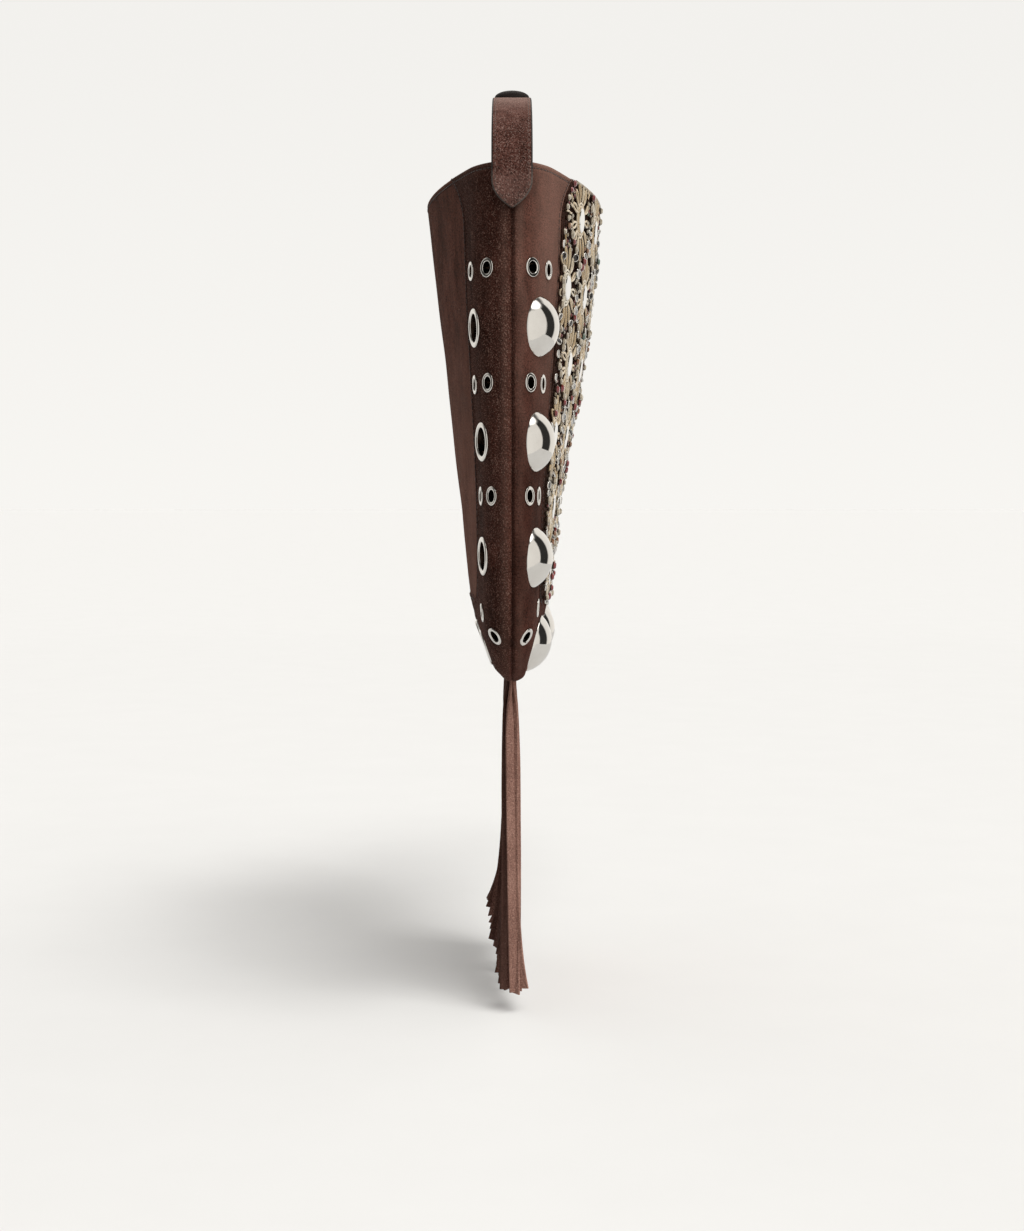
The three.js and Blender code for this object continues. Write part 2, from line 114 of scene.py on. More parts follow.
# Worn suede, with painted light, painted sheen and painted shade on it, as shares, over bands of distance
# from the rim or the seam
SEAM_WEAR = 0.3
RIM_WEAR = 0.8
EDGE_WEAR = 0.4
RIM_WEAR_DEPTH = 1.2
LOWER_BAND = (40, 190)
# Front border: painted light on its upper part, and painted sheen there growing away from the seam, where the
# light grazes the nap
FRONT_PAINTED_LIGHT = 0.10
FRONT_PAINTED_SHEEN = 0.44
FRONT_SHEEN_BAND = (4, 26)
# Painted shade: the front border darker lower down and lighter again at its foot
FRONT_SHADE = 0.06
FRONT_LOWER_SHADE = 0.52
FRONT_FOOT_LIGHT = 0.7
FRONT_FOOT_BAND = (200, 250)
# Painted shade: the back border darker all over and more at the top, lighter again at its foot
BACK_SHADE = 0.30
BACK_TOP_SHADE = 0.18
BACK_TOP_BAND = (0, 60)
BACK_FOOT_LIGHT = 0.14
BACK_FOOT_BAND = (190, 250)
EDGE_PALE = 0.55
# Panels: wear at the rim, and painted sheen lower down, where the nap is seen edge-on
PANEL_RIM_WEAR = 0.6
PANEL_PAINTED_SHEEN = 0.5
PANEL_SHEEN_BAND = (50, 150)

# Hardware on each half of the bag: how far down the side, round the corner (radians) or from the middle
# of the bottom, then how far in from the seam on the front and on the back
Hardware = namedtuple("Hardware", "kind amount front back")
BIG_PLACES = [
    Hardware("side", 80.9, 21.0, 31.0),
    Hardware("side", 138.6, 21.0, 24.5),
    Hardware("corner", 0.202, 21.0, 25.5),
    Hardware("corner", 1.449, 25.0, 24.0),
    Hardware("bottom", 31.7, 25.0, 24.0),
]
NEAR_PLACES = [
    Hardware("side", 52.0, 12.0, 15.0),
    Hardware("side", 109.2, 12.0, 15.5),
    Hardware("side", 166.0, 12.0, 13.5),
    Hardware("corner", 0.77, 8.5, 10.0),
    Hardware("bottom", 63.4, 9.5, 10.0),
]
FAR_PLACES = [
    Hardware("side", 52.0, 28.5, 34.5),
    Hardware("side", 109.2, 28.0, 36.0),
    Hardware("side", 166.0, 27.5, 30.5),
    Hardware("corner", 0.77, 30.0, 28.0),
    Hardware("bottom", 63.4, 32.0, 31.0),
]
DOME_RADIUS = 15.5
DOME_HEIGHT = 9.0
DOME_SIDES = 72
DOME_STEPS = 22
DOME_FOOT = ((-0.6, -1.2), (-0.1, -0.9), (0.0, -0.4))
BARREL_DEPTH = 4.0
BARREL_WALL = 0.5
LARGE_SIDES = 48
SMALL_SIDES = 32
LARGE_EYELET = dict(outer=9.9, hole=7.2, lip=1.2)
SMALL_EYELET = dict(outer=4.9, hole=3.1, lip=0.85)
Seat = namedtuple("Seat", "radius blend sunk")
DOME_SEAT = Seat(DOME_RADIUS + 0.8, 9.0, 0.3)
LARGE_SEAT = Seat(LARGE_EYELET["outer"] + 0.4, 6.0, 0.1)
SMALL_SEAT = Seat(SMALL_EYELET["outer"] + 0.3, 3.5, 0.1)

# Embroidery
MIRROR_RADIUS = 6.5
MIRROR_PROUD = 1.2
MIRROR_SIDE = 0.85
MIRROR_BEVEL = 0.4
MIRROR_SIDES = 48
MIRROR_LIFT = 2.05
MIRROR_PITCH = 52.0
MIRROR_ROWS = [(19.5, 5, 13), (57.5, 5, -13), (95.5, 5, 13), (133.5, 5, -13), (171.5, 5, 13), (207.5, 4, 0)]
BED_LIFT = 1.0
TUBE_RADIUS = 0.8
TUBE_LENGTH = 6.0
TUBE_LEAST = 2.6
TUBE_GAP = 0.8
TUBE_PILE = 0.3
TUBE_CLEAR = 2.6
RAY_CLEAR = 0.6
RAY_FROM_PETALS = 1.2
RAY_STAGGER = 0.8
RAYS = 30
PETALS = 13
PETAL_START = 10.2
PETAL_LENGTH = 10.5
PETAL_LEAST = 3.5
PETAL_CLEAR = 0.5
PETAL_HALF = 1.9
PETAL_ARCH = 0.4
PETAL_STEPS = 24
STRAND_RADIUS = 0.8
STRAND_SIDES = 6
CUP_LEAN = 0.8
NEIGHBOURS = 70.0
CUP_PITCH = 6.2
CUP_FROM_EDGE = -1.6
CUP_SHARE = 0.35
CUP_SIZE = 3.4
BIG_CUP_SIZE = 5.0
STONE_SIZE = 3.8
STONE_LIFT = 1.6
CRYSTAL_LIFT = 0.9
RAY_START = 9.7
RAY_LIMIT = 46.0
EDGE_ROOM = -3.4
RIM_ROOM = 4.4
COLLAR_RADII = (7.4, 9.1)
SEED = 2.1
FILL_TRIES = 24000
FILL_CLEAR = 2.1
FILL_FROM_EDGE = 1.6
FILL_FROM_STONE = 3.4
SEED_LENGTH = 1.35
SEED_LIFT = 0.95
LATTICE = 1.0
LATTICE_MARGIN = 4.0
EDGE_STEP = 2.0
RAY_STEP = 0.6
ROUND_LIMIT = 40.0
STONE_ROOM = 4.5
STONES_APART = 8.0
STONE_CLEAR = 5.0
LINE_REACH = 28.0
CUP_LIFT = 1.2
HEART_SIZE = (0.85 * CUP_SIZE, 0.85 * CUP_SIZE, 0.5 * CUP_SIZE)
CRYSTAL_SIZE = (4.6, 4.6, 5.4)
RIM_BEAD_SIZE = (1.9, 1.9, 2.6)
RIM_BEAD_BELOW = 1.2
RIM_BEAD_LIFT = 0.8

# Strap and grip
STRAP_HALF = 10.25
STRAP_THICKNESS = 3.0
STRAP_ROUND = 0.8
TAB_LENGTH = 23.5
TAB_POINT = 14.0
TAB_BLUNT = 0.8
TAB_CURVE = 2.2
TAB_BLEND = 5.0
TAB_PALE = 0.4
TAB_WEAR = 0.15
# Band of height where the strap's crown is painted lighter, as painted light on its top
CROWN_PAINTED_LIGHT_BAND = (-26, -4)
GRIP_HALF_LENGTH = 66.0
GRIP_WIDTH = 19.0
GRIP_HEIGHT = 6.0
GRIP_EDGE = 0.7
GRIP_END_SQUARE = 8
GRIP_END_FILL = 0.12
GRIP_END_WIDER = 0.25
GRIP_STEPS = 61

# Fringe
FRINGE_HALF_LENGTH = 84.0
STRIPS_PER_LAYER = 34
STRIP_WIDTH = 4.7
STRIP_THICKNESS = 1.4
STRIP_NEAR_LENGTH = 172.0
STRIP_FAR_LENGTH = 152.0
STRIP_STEPS = 30
STRIP_TUCK = 4.0
STRIP_BEVEL = 0.25
STRIP_CUP = 0.18
STRIP_CUT = 0.25
STRIP_UNEVEN = 1.6
FRONT_SEATS = (-2.2, 0.2)
BACK_SEATS = (1.4, 4.2)
BACK_TIP = 4.2
BACK_TIP_SPREAD = 9.0
# Painted shade on the back layer of strips; painted light on the nearest strips, whose broad faces turn to
# the light
BACK_LAYER_SHADE = 0.45
NEAR_PAINTED_LIGHT = 0.55
# How the nearest strips lie in the photo
NEAR_LIES = [
    dict(seat=1.0, tip=-1.0, late=3.0, twist=-1.30, early=0.22, curl=0.4, length=172.0),
    dict(seat=-1.2, tip=-7.0, late=6.0, twist=1.10, early=0.16, curl=-0.35, length=170.0),
    dict(seat=-2.4, tip=-2.6, twist=0.9, early=0.3),
    dict(seat=4.0, tip=4.6, twist=-0.8, early=0.4),
]

# Stitches: length, gap and radius
SUEDE_STITCH = (2.6, 0.8, 0.34)
STRAP_STITCH = (1.9, 1.3, 0.30)
STRAP_STITCH_IN = 1.9

# Camera and stage
CAMERA_PLACE = (-1220.0, 0.0, -215.5)
CAMERA_PITCH = 3.284
CAMERA_LENS = 61.41
CAMERA_SENSOR = 36.0
CAMERA_CLIP = (0.01, 100.0)
FLOOR_Z = -501.0
FLOOR_REACH = 40.0
FLOOR_LOW = (0.732, 0.732, 0.731)
FLOOR_HIGH = (0.742, 0.742, 0.741)
PAPER_CORNERS = ((-0.45, -0.95), (3.0, 0.95))
SHEET_LIFT = 0.2
Sun = namedtuple("Sun", "name toward angle strength floor_only")
SUNS = [
    Sun("key", (-0.42, -0.47, 0.95), 18.0, 0.74, False),
    Sun("side_light", (-1.0, -0.55, 1.0), 22.0, 0.32, False),
    Sun("front_light", (-1.0, -0.16, 1.0), 22.0, 0.40, False),
    Sun("floor_far_light", (-0.95, -0.14, 1.0), 14.0, 0.65, True),
    Sun("floor_near_light", (-0.62, -0.32, 1.0), 16.0, 0.78, True),
]
SOFTBOX_TOWARD = (-0.16, -0.36, 0.92)
SOFTBOX_RIM = math.cos(math.radians(25))
SOFTBOX_CORE = math.cos(math.radians(8))
SUN_COLOUR = (1.0, 0.985, 0.95)

# The studio round the bag: levels from the camera's side to the far side, soft ones for light and sharp
# ones for reflections, on the right and on the left of the photo
WALL_TINT = (1.0, 0.965, 0.91)
SOFT_RIGHT = [(0.0, 0.46), (0.3, 0.80), (0.7, 0.70), (1.0, 0.8)]
SOFT_LEFT = [(0.0, 0.46), (0.12, 0.14), (0.6, 0.03), (1.0, 0.8)]
SHARP_RIGHT = [(0.0, 0.84), (0.38, 0.80), (0.42, 0.03), (0.70, 0.03), (0.75, 0.85), (1.0, 0.92)]
SHARP_LEFT = [(0.0, 0.75), (0.10, 0.30), (0.2, 0.06), (0.6, 0.05), (0.85, 0.7), (1.0, 0.92)]
SOFT_CEILING = (0.62, 0.613, 0.600)
SHARP_CEILING = (0.12, 0.115, 0.11)
SOFTBOX_COLOUR = (2.6, 2.56, 2.46)
BACKDROP_LOW = (0.932, 0.917, 0.884)
BACKDROP_HIGH = (0.893, 0.880, 0.851)


# Meshes

def make_piece(name, points, face_sets, materials, slot, nodes=(), smooth=True, indices=None, tones=None):
    """A mesh piece that rides on the bag, from points in millimetres and arrays of faces."""
    mesh = bpy.data.meshes.new(name)
    loops = np.concatenate([faces.ravel() for faces in face_sets]).astype(np.int32)
    totals = np.concatenate([np.full(len(faces), faces.shape[1]) for faces in face_sets])
    starts = np.concatenate([[0], np.cumsum(totals)[:-1]]).astype(np.int32)
    used, loops = np.unique(loops, return_inverse=True)
    mesh.vertices.add(len(used))
    mesh.vertices.foreach_set("co", (np.asarray(points)[used] * MM).astype(np.float32).ravel())
    mesh.loops.add(len(loops))
    mesh.loops.foreach_set("vertex_index", loops.astype(np.int32))
    mesh.polygons.add(len(totals))
    mesh.polygons.foreach_set("loop_start", starts)
    if indices is not None:
        mesh.polygons.foreach_set("material_index", np.asarray(indices, np.int32))
    mesh.update(calc_edges=True)
    mesh.validate()
    for attribute, values in (tones or {}).items():
        layer = mesh.attributes.new(attribute, "FLOAT", "POINT")
        layer.data.foreach_set("value", np.asarray(values, np.float32)[used])
    mesh.polygons.foreach_set("use_smooth", np.full(len(mesh.polygons), smooth))
    for material in materials:
        mesh.materials.append(material)
    edit = bmesh.new()
    edit.from_mesh(mesh)
    bmesh.ops.recalc_face_normals(edit, faces=edit.faces)
    edit.to_mesh(mesh)
    edit.free()
    piece = bpy.data.objects.new(name, mesh)
    bpy.context.scene.collection.objects.link(piece)
    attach(piece, "root")
    if nodes:
        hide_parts(*nodes)
    return piece


def grid_faces(rows, columns, around=False):
    """Quads of a grid of points, closed round its columns where asked."""
    i, j = np.meshgrid(np.arange(rows - 1), np.arange(columns if around else columns - 1), indexing="ij")
    k = (j + 1) % columns
    quads = np.stack([i * columns + j, (i + 1) * columns + j, (i + 1) * columns + k, i * columns + k], -1)
    return quads.reshape(-1, 4)


def loft(rings):
    """Points and faces of a closed solid through rings of points."""
    rings = np.asarray(rings)
    rows, columns = rings.shape[:2]
    ends = np.array([np.arange(columns), (rows - 1) * columns + np.arange(columns)[::-1]])
    return rings.reshape(-1, 3), [grid_faces(rows, columns, around=True), ends]


def turned_rings(profile, sides):
    """Rings of points about +Z, from rows of radius and height."""
    angle = np.arange(sides) * (2 * math.pi / sides)
    around = np.stack([np.cos(angle), np.sin(angle), np.zeros(sides)], -1)
    return np.array([around * (radius, radius, 0) + (0, 0, height) for radius, height in profile])


def turned(profile, sides):
    """Points and faces of a solid turned about +Z."""
    return loft(turned_rings([(max(radius, TURNED_LEAST), height) for radius, height in profile], sides))


def turned_hollow(profile, sides):
    """Points and faces of a ring turned about +Z, open in the middle."""
    return turned_rings(profile, sides).reshape(-1, 3), [grid_faces(len(profile), sides, around=True)]


def copies(shape, origins, frames, sizes):
    """Many copies of a shape: each has an origin, a frame of three axes and three sizes."""
    points, face_sets = shape
    count = len(origins)
    scaled = points[None] * np.broadcast_to(sizes, (count, 3))[:, None]
    placed = np.einsum("pnk,pkj->pnj", scaled, frames) + origins[:, None]
    step = (np.arange(count) * len(points))[:, None, None]
    return placed.reshape(-1, 3), [(faces[None] + step).reshape(-1, faces.shape[1]) for faces in face_sets]


def gather(parts):
    """One set of points and faces from several."""
    points, faces, start = [], [], 0
    for part_points, part_faces in parts:
        points.append(part_points)
        faces.extend(face_set + start for face_set in part_faces)
        start += len(part_points)
    return np.concatenate(points), faces


def unit(vectors):
    return vectors / np.linalg.norm(vectors, axis=-1, keepdims=True)


def smooth_step(value, low, high):
    t = np.clip((value - low) / (high - low), 0, 1)
    return t * t * (3 - 2 * t)


# Body surface, as in the solids

def section_curve(column):
    """Monotone curve through one column of the sections."""
    x, y = SECTIONS[:, 0], SECTIONS[:, column]
    slope = np.diff(y) / np.diff(x)
    before, after = slope[:-1], slope[1:]
    same = before * after > 0
    middle = np.where(same, 2 * before * after / np.where(same, before + after, 1), 0)
    tangent = np.concatenate([slope[:1], middle, slope[-1:]])

    def curve(below):
        depth = np.clip(below, 0, BODY_HEIGHT)
        k = np.clip(np.searchsorted(x, depth) - 1, 0, len(x) - 2)
        step = x[k + 1] - x[k]
        t = (depth - x[k]) / step
        ends = y[k] * (2 * t ** 3 - 3 * t ** 2 + 1) + y[k + 1] * (3 * t ** 2 - 2 * t ** 3)
        bend = tangent[k] * (t ** 3 - 2 * t ** 2 + t) + tangent[k + 1] * (t ** 3 - t ** 2)
        return ends + bend * step

    return curve


Face = namedtuple("Face", "name side depth shoulder")
FRONT = Face("front", -1, section_curve(1), section_curve(3))
BACK = Face("back", 1, section_curve(2), section_curve(4))


def half_width_at(z):
    drop = np.clip(CORNER_Z - z, 0, CORNER_RADIUS)
    return FLAT_HALF + np.sqrt(CORNER_RADIUS ** 2 - drop ** 2)


def depth_at(face, x, z):
    below = RIM_Z - z
    half = half_width_at(z)
    inside = np.maximum(half - np.abs(x), 0)
    shoulder = face.shoulder(below)
    rounded = np.minimum(1, inside / SHOULDER_ROUND)
    crown = 1 - (1 - inside / half) ** BOW
    return shoulder * np.sqrt(1 - (1 - rounded) ** 2) + (face.depth(below) - shoulder) * crown


def place_on(face, x, z, lift=0.0):
    """Points and normals of a face, lifted along the normals."""
    x, z = np.broadcast_arrays(np.asarray(x, float), np.asarray(z, float))
    low, high = np.maximum(z - SLOPE_STEP, BOTTOM_Z), np.minimum(z + SLOPE_STEP, RIM_Z)
    slope_x = (depth_at(face, x + SLOPE_STEP, z) - depth_at(face, x - SLOPE_STEP, z)) / (2 * SLOPE_STEP)
    slope_z = (depth_at(face, x, high) - depth_at(face, x, low)) / (high - low)
    normal = unit(np.stack([-slope_x, np.full(x.shape, float(face.side)), -slope_z], -1))
    point = np.stack([x, face.side * depth_at(face, x, z), z], -1)
    return point + normal * np.asarray(lift)[..., None], normal


# Seam

Seam = namedtuple("Seam", "x z in_x in_z")
SIDE_RUN = RIM_Z - CORNER_Z


def side_seam(step, side):
    """Stations down one side and round its corner, close together at the rim."""
    drops = np.concatenate([NEAR_RIM, np.arange(EVEN_FROM_RIM, SIDE_RUN, step)])
    angles = np.linspace(0, math.pi / 2, int(CORNER_RADIUS * math.pi / 2 / step) + 1)
    c, s = np.cos(angles), np.sin(angles)
    x = np.concatenate([np.full(len(drops), HALF_WIDTH), FLAT_HALF + CORNER_RADIUS * c])
    z = np.concatenate([RIM_Z - drops, CORNER_Z - CORNER_RADIUS * s])
    in_x = np.concatenate([np.full(len(drops), -1.0), -c])
    in_z = np.concatenate([np.zeros(len(drops)), s])
    return Seam(side * x, z, side * in_x, in_z)


def bottom_seam(x):
    return Seam(x, np.full(len(x), BOTTOM_Z), np.zeros(len(x)), np.ones(len(x)))


def whole_seam(step):
    """Stations from the rim at -X round the bottom to the rim at +X."""
    left, right = side_seam(step, -1), side_seam(step, 1)
    bottom = bottom_seam(np.linspace(-FLAT_HALF, FLAT_HALF, int(2 * FLAT_HALF / step) + 1)[1:-1])
    return Seam(*(np.concatenate([a, b, c[::-1]]) for a, b, c in zip(left, bottom, right)))


def seam_at(kind, amount, side):
    """One seam point, as x, z and the way in from the seam."""
    if kind == "side":
        return side * HALF_WIDTH, RIM_Z - amount, -side, 0.0
    if kind == "corner":
        c, s = math.cos(amount), math.sin(amount)
        return side * (FLAT_HALF + CORNER_RADIUS * c), CORNER_Z - CORNER_RADIUS * s, -side * c, s
    return side * amount, BOTTOM_Z, 0.0, 1.0


def both_halves(places):
    """Seam points beside hardware on each half of the bag, from the rim at -X round to the rim at +X."""
    left = [seam_at(place.kind, place.amount, -1) for place in places]
    right = [seam_at(place.kind, place.amount, 1) for place in reversed(places)]
    return Seam(*(np.array(column, float) for column in zip(*left, *right)))


def walk_in(face, seam, distances):
    """Places that far in from the seam over the surface: an array of stations by distances."""
    x, z, in_x, in_z = (column[:, None] for column in seam)
    gone = np.arange(0, WALK_REACH, WALK_STEP)
    depth = depth_at(face, x + in_x * gone, z + in_z * gone)
    stride = np.hypot(WALK_STEP, np.diff(depth, axis=1))
    arc = np.concatenate([np.zeros((len(depth), 1)), np.cumsum(stride, axis=1)], axis=1)
    distances = np.broadcast_to(distances, (len(depth), np.shape(distances)[-1]))
    reach = np.stack([np.interp(wanted, row, gone) for wanted, row in zip(distances, arc)])
    return x + in_x * reach, z + in_z * reach


def border_width_at(z):
    near = np.maximum(1 - (RIM_Z - z) / BORDER_FLARE_DEPTH, 0)
    return BORDER_WIDTH + BORDER_FLARE * near ** 2


def hardware_frames(face, places):
    """Points and frames for pieces set in the border of a face."""
    offsets = [getattr(place, face.name) for place in places]
    x, z = walk_in(face, both_halves(places), np.array([*offsets, *reversed(offsets)])[:, None])
    point, normal = place_on(face, x[:, 0], z[:, 0])
    along = unit(np.cross(np.cross(normal, (0, 0, 1.0)), normal))
    return point, np.stack([np.cross(along, normal), along, normal], 1)


# Materials

class Nodes:
    """A node tree, with short calls for the nodes that it needs."""

    def __init__(self, tree):
        self.tree = tree

    def node(self, kind, inputs=None, **settings):
        node = self.tree.nodes.new(kind)
        for key, value in settings.items():
            setattr(node, key, value)
        for socket, value in (inputs or {}).items():
            self.feed(node.inputs[socket], value)
        return node

    def feed(self, socket, value):
        if isinstance(value, bpy.types.NodeSocket):
            self.tree.links.new(value, socket)
        else:
            socket.default_value = value

    def spread(self, value, low, high, to_low=0.0, to_high=1.0, **settings):
        ends = {"Value": value, "From Min": low, "From Max": high, "To Min": to_low, "To Max": to_high}
        return self.node("ShaderNodeMapRange", ends, **settings).outputs["Result"]

    def ramp(self, factor, stops, interpolation="LINEAR"):
        node = self.node("ShaderNodeValToRGB", {"Fac": factor})
        node.color_ramp.interpolation = interpolation
        elements = node.color_ramp.elements
        while len(elements) < len(stops):
            elements.new(1.0)
        for element, (position, colour) in zip(elements, stops):
            element.position = position
            element.color = (*colour, 1.0)
        return node.outputs["Color"]

    def mix(self, factor, first, second, blend="MIX"):
        node = self.node("ShaderNodeMix", data_type="RGBA", blend_type=blend)
        for index, value in ((0, factor), (6, first), (7, second)):
            self.feed(node.inputs[index], value if not isinstance(value, tuple) else (*value, 1.0))
        return node.outputs[2]


class Shader(Nodes):
    """A material of nodes, laid out in the piece's own space."""

    def __init__(self, name):
        self.material = bpy.data.materials.new(name)
        self.material.use_nodes = True
        super().__init__(self.material.node_tree)
        self.surface = self.tree.nodes["Principled BSDF"]
        self.place = self.node("ShaderNodeTexCoord").outputs["Object"]

    def noise(self, size, detail=3.0, roughness=0.55, stretch=(1, 1, 1)):
        """Noise with features of that size, drawn out along an axis where asked."""
        place = self.node("ShaderNodeMapping", {"Vector": self.place, "Scale": stretch}).outputs["Vector"]
        values = {"Vector": place, "Scale": 1 / (size * MM), "Detail": detail, "Roughness": roughness}
        return self.node("ShaderNodeTexNoise", values).outputs["Fac"]

    def attribute(self, name):
        return self.node("ShaderNodeAttribute", attribute_name=name).outputs["Fac"]

    def math(self, operation, first, second):
        return self.node("ShaderNodeMath", {0: first, 1: second}, operation=operation).outputs["Value"]

    def bump(self, height, depth, normal=None):
        values = {"Height": height, "Distance": depth * MM, "Strength": 1.0}
        if normal is not None:
            values["Normal"] = normal
        return self.node("ShaderNodeBump", values).outputs["Normal"]

    def set(self, **values):
        for key, value in values.items():
            socket = self.surface.inputs[key.replace("_", " ").title().replace("Ior", "IOR")]
            self.feed(socket, (*value, 1.0) if isinstance(value, tuple) and len(value) == 3 else value)
        return self.material


def suede(name, dark, mid, light, speck, grain=1.1, sheen=0.1, tips_front=0.5, tips_back=0.5):
    """Brushed suede: clouded nap, dark pits and pale fibre tips, lighter where the mesh marks wear and
    painted light and sheen, and darker where it marks painted shade.
    """
    s = Shader(name)
    cloud = s.noise(26, 4, 0.6)
    brushed = s.noise(6, 3, 0.6, (1, 1, 0.4))
    nap = s.noise(grain, 2, 0.6)
    fibre = s.noise(grain * 0.75, 1, 0.5)
    tone = s.math("ADD", s.math("MULTIPLY", cloud, 0.45), s.math("MULTIPLY", brushed, 0.25))
    tone = s.math("ADD", tone, s.math("MULTIPLY", nap, 0.30))
    colour = s.ramp(tone, [(0.40, dark), (0.5, mid), (0.62, light)])
    pits = s.spread(nap, 0.34, 0.47, 0.75, 0.0)
    colour = s.mix(pits, colour, tuple(0.35 * level for level in dark))
    # The pale fibre tips are the nap's grain; where their share is larger on the back (+Y) than on the front,
    # as on the borders, the extra tips are painted sheen where light grazes the nap.
    depth = s.node("ShaderNodeSeparateXYZ", {0: s.place}).outputs["Y"]
    share = s.spread(depth, -5 * MM, 4 * MM, tips_front, tips_back)
    share = s.math("MULTIPLY", share, s.spread(brushed, 0.35, 0.65, 0.4, 1.0))
    tips = s.math("MULTIPLY", s.spread(fibre, 0.54, 0.68), share)
    colour = s.mix(tips, colour, speck)
    # Mesh lightening: real wear, plus painted light and painted sheen where the mesh marks them; mesh
    # darkening: painted shade, and on the fringe also each strip's own tone.
    colour = s.mix(s.spread(s.attribute("wear_and_painted_light"), 0.0, 1.0, 0.0, 0.5), colour, speck)
    colour = s.mix(s.attribute("shade"), colour, tuple(0.3 * level for level in dark))
    height = s.math("ADD", s.math("MULTIPLY", nap, 0.6), s.math("MULTIPLY", fibre, 0.4))
    normal = s.bump(height, 0.9, s.bump(cloud, 1.0))
    rough = s.spread(nap, 0.3, 0.7, 0.82, 1.0)
    return s.set(base_color=colour, roughness=rough, normal=normal, specular_ior_level=0.05,
                 sheen_weight=sheen, sheen_roughness=0.3, sheen_tint=(0.90, 0.60, 0.50))


def edge_paint(name):
    """Painted cut edges: near black on the strap, paler where the mesh says so."""
    s = Shader(name)
    grain = s.noise(0.8, 3)
    dark = s.ramp(grain, [(0.35, (0.010, 0.006, 0.005)), (0.65, (0.032, 0.020, 0.017))])
    pale = s.ramp(grain, [(0.35, (0.13, 0.095, 0.080)), (0.65, (0.29, 0.225, 0.195))])
    colour = s.mix(s.attribute("pale"), dark, pale)
    rough = s.spread(grain, 0.3, 0.7, 0.45, 0.7)
    return s.set(base_color=colour, roughness=rough, normal=s.bump(grain, 0.12))


def leather(name):
    """Smooth near-black leather with a fine pebble."""
    s = Shader(name)
    pebble = s.node("ShaderNodeTexVoronoi", {"Vector": s.place, "Scale": 1 / (1.1 * MM)}).outputs["Distance"]
    cloud = s.noise(9, 4)
    colour = s.ramp(cloud, [(0.35, (0.006, 0.004, 0.004)), (0.65, (0.013, 0.008, 0.007))])
    rough = s.spread(cloud, 0.3, 0.7, 0.5, 0.68)
    return s.set(base_color=colour, roughness=rough, normal=s.bump(pebble, 0.12, s.bump(cloud, 0.4)),
                 specular_ior_level=0.18)


def metal(name, low, high, rough, scratch=0.012):
    """Polished metal with faint handling marks."""
    s = Shader(name)
    smudge = s.noise(6, 4, 0.6)
    fine = s.noise(0.9, 2, 0.5, (1, 1, 0.2))
    colour = s.ramp(smudge, [(0.3, low), (0.7, high)])
    finish = s.spread(smudge, 0.35, 0.7, rough * 0.6, rough * 1.4)
    finish = s.math("ADD", finish, s.math("MULTIPLY", fine, 0.02))
    return s.set(base_color=colour, roughness=finish, metallic=1.0, normal=s.bump(fine, scratch))


# Painted shade for bead faces turned away from the light; dirt in random patches
BEAD_SHADE = (0.050, 0.028, 0.017)
BEAD_DIRT = (0.05, 0.035, 0.025)


def beads(name, stops, rough, metallic, interpolation="LINEAR", coat=0.0):
    """Glass beads, each with a tone of its own along the ramp."""
    s = Shader(name)
    tint = s.noise(1.3, 2)
    colour = s.ramp(s.attribute("tone"), stops, interpolation)
    colour = s.mix(s.spread(tint, 0.3, 0.7, 0.0, 0.35), colour, BEAD_DIRT, "MULTIPLY")
    # Painted shade: faces turned away from the light, towards +Y, are mixed towards the shade colour.
    away = s.node("ShaderNodeSeparateXYZ", {0: s.node("ShaderNodeTexCoord").outputs["Normal"]}).outputs["Y"]
    colour = s.mix(s.spread(away, -0.75, 0.05, 0.0, 0.92), colour, BEAD_SHADE)
    finish = s.spread(tint, 0.3, 0.7, rough * 0.7, rough * 1.3)
    return s.set(base_color=colour, roughness=finish, metallic=metallic,
                 coat_weight=coat, coat_roughness=0.08)


def thread(name, low, high):
    """Waxed sewing thread, twisted."""
    s = Shader(name)
    twist = s.noise(0.35, 2)
    colour = s.ramp(twist, [(0.35, low), (0.65, high)])
    rough = s.spread(twist, 0.3, 0.7, 0.6, 0.85)
    return s.set(base_color=colour, roughness=rough, normal=s.bump(twist, 0.08), sheen_weight=0.2)


SUEDE = suede("suede", (0.046, 0.0140, 0.0088), (0.102, 0.0355, 0.0250), (0.160, 0.059, 0.043),
              (0.50, 0.305, 0.245), 0.9, 0.06, 0.10, 1.0)
# The back panel's suede is a lighter copy of the suede, as painted sheen on the nap seen edge-on.
BACK_SUEDE_PAINTED_SHEEN = suede("back_suede", (0.068, 0.0240, 0.0150), (0.150, 0.0570, 0.0385), (0.250, 0.104, 0.075),
                   (0.60, 0.31, 0.235), 1.1, 0.08, 0.05, 0.05)
STRAP_SUEDE = suede("strap_suede", (0.050, 0.0185, 0.0135), (0.120, 0.0500, 0.0390), (0.205, 0.098, 0.080),
                    (0.56, 0.39, 0.34), 0.9, 0.14, 0.55, 0.55)
FRINGE_SUEDE = suede("fringe_suede", (0.130, 0.0510, 0.0380), (0.260, 0.1220, 0.0930), (0.360, 0.195, 0.155),
                     (0.78, 0.47, 0.38), 0.9, 0.06, 0.7, 0.7)
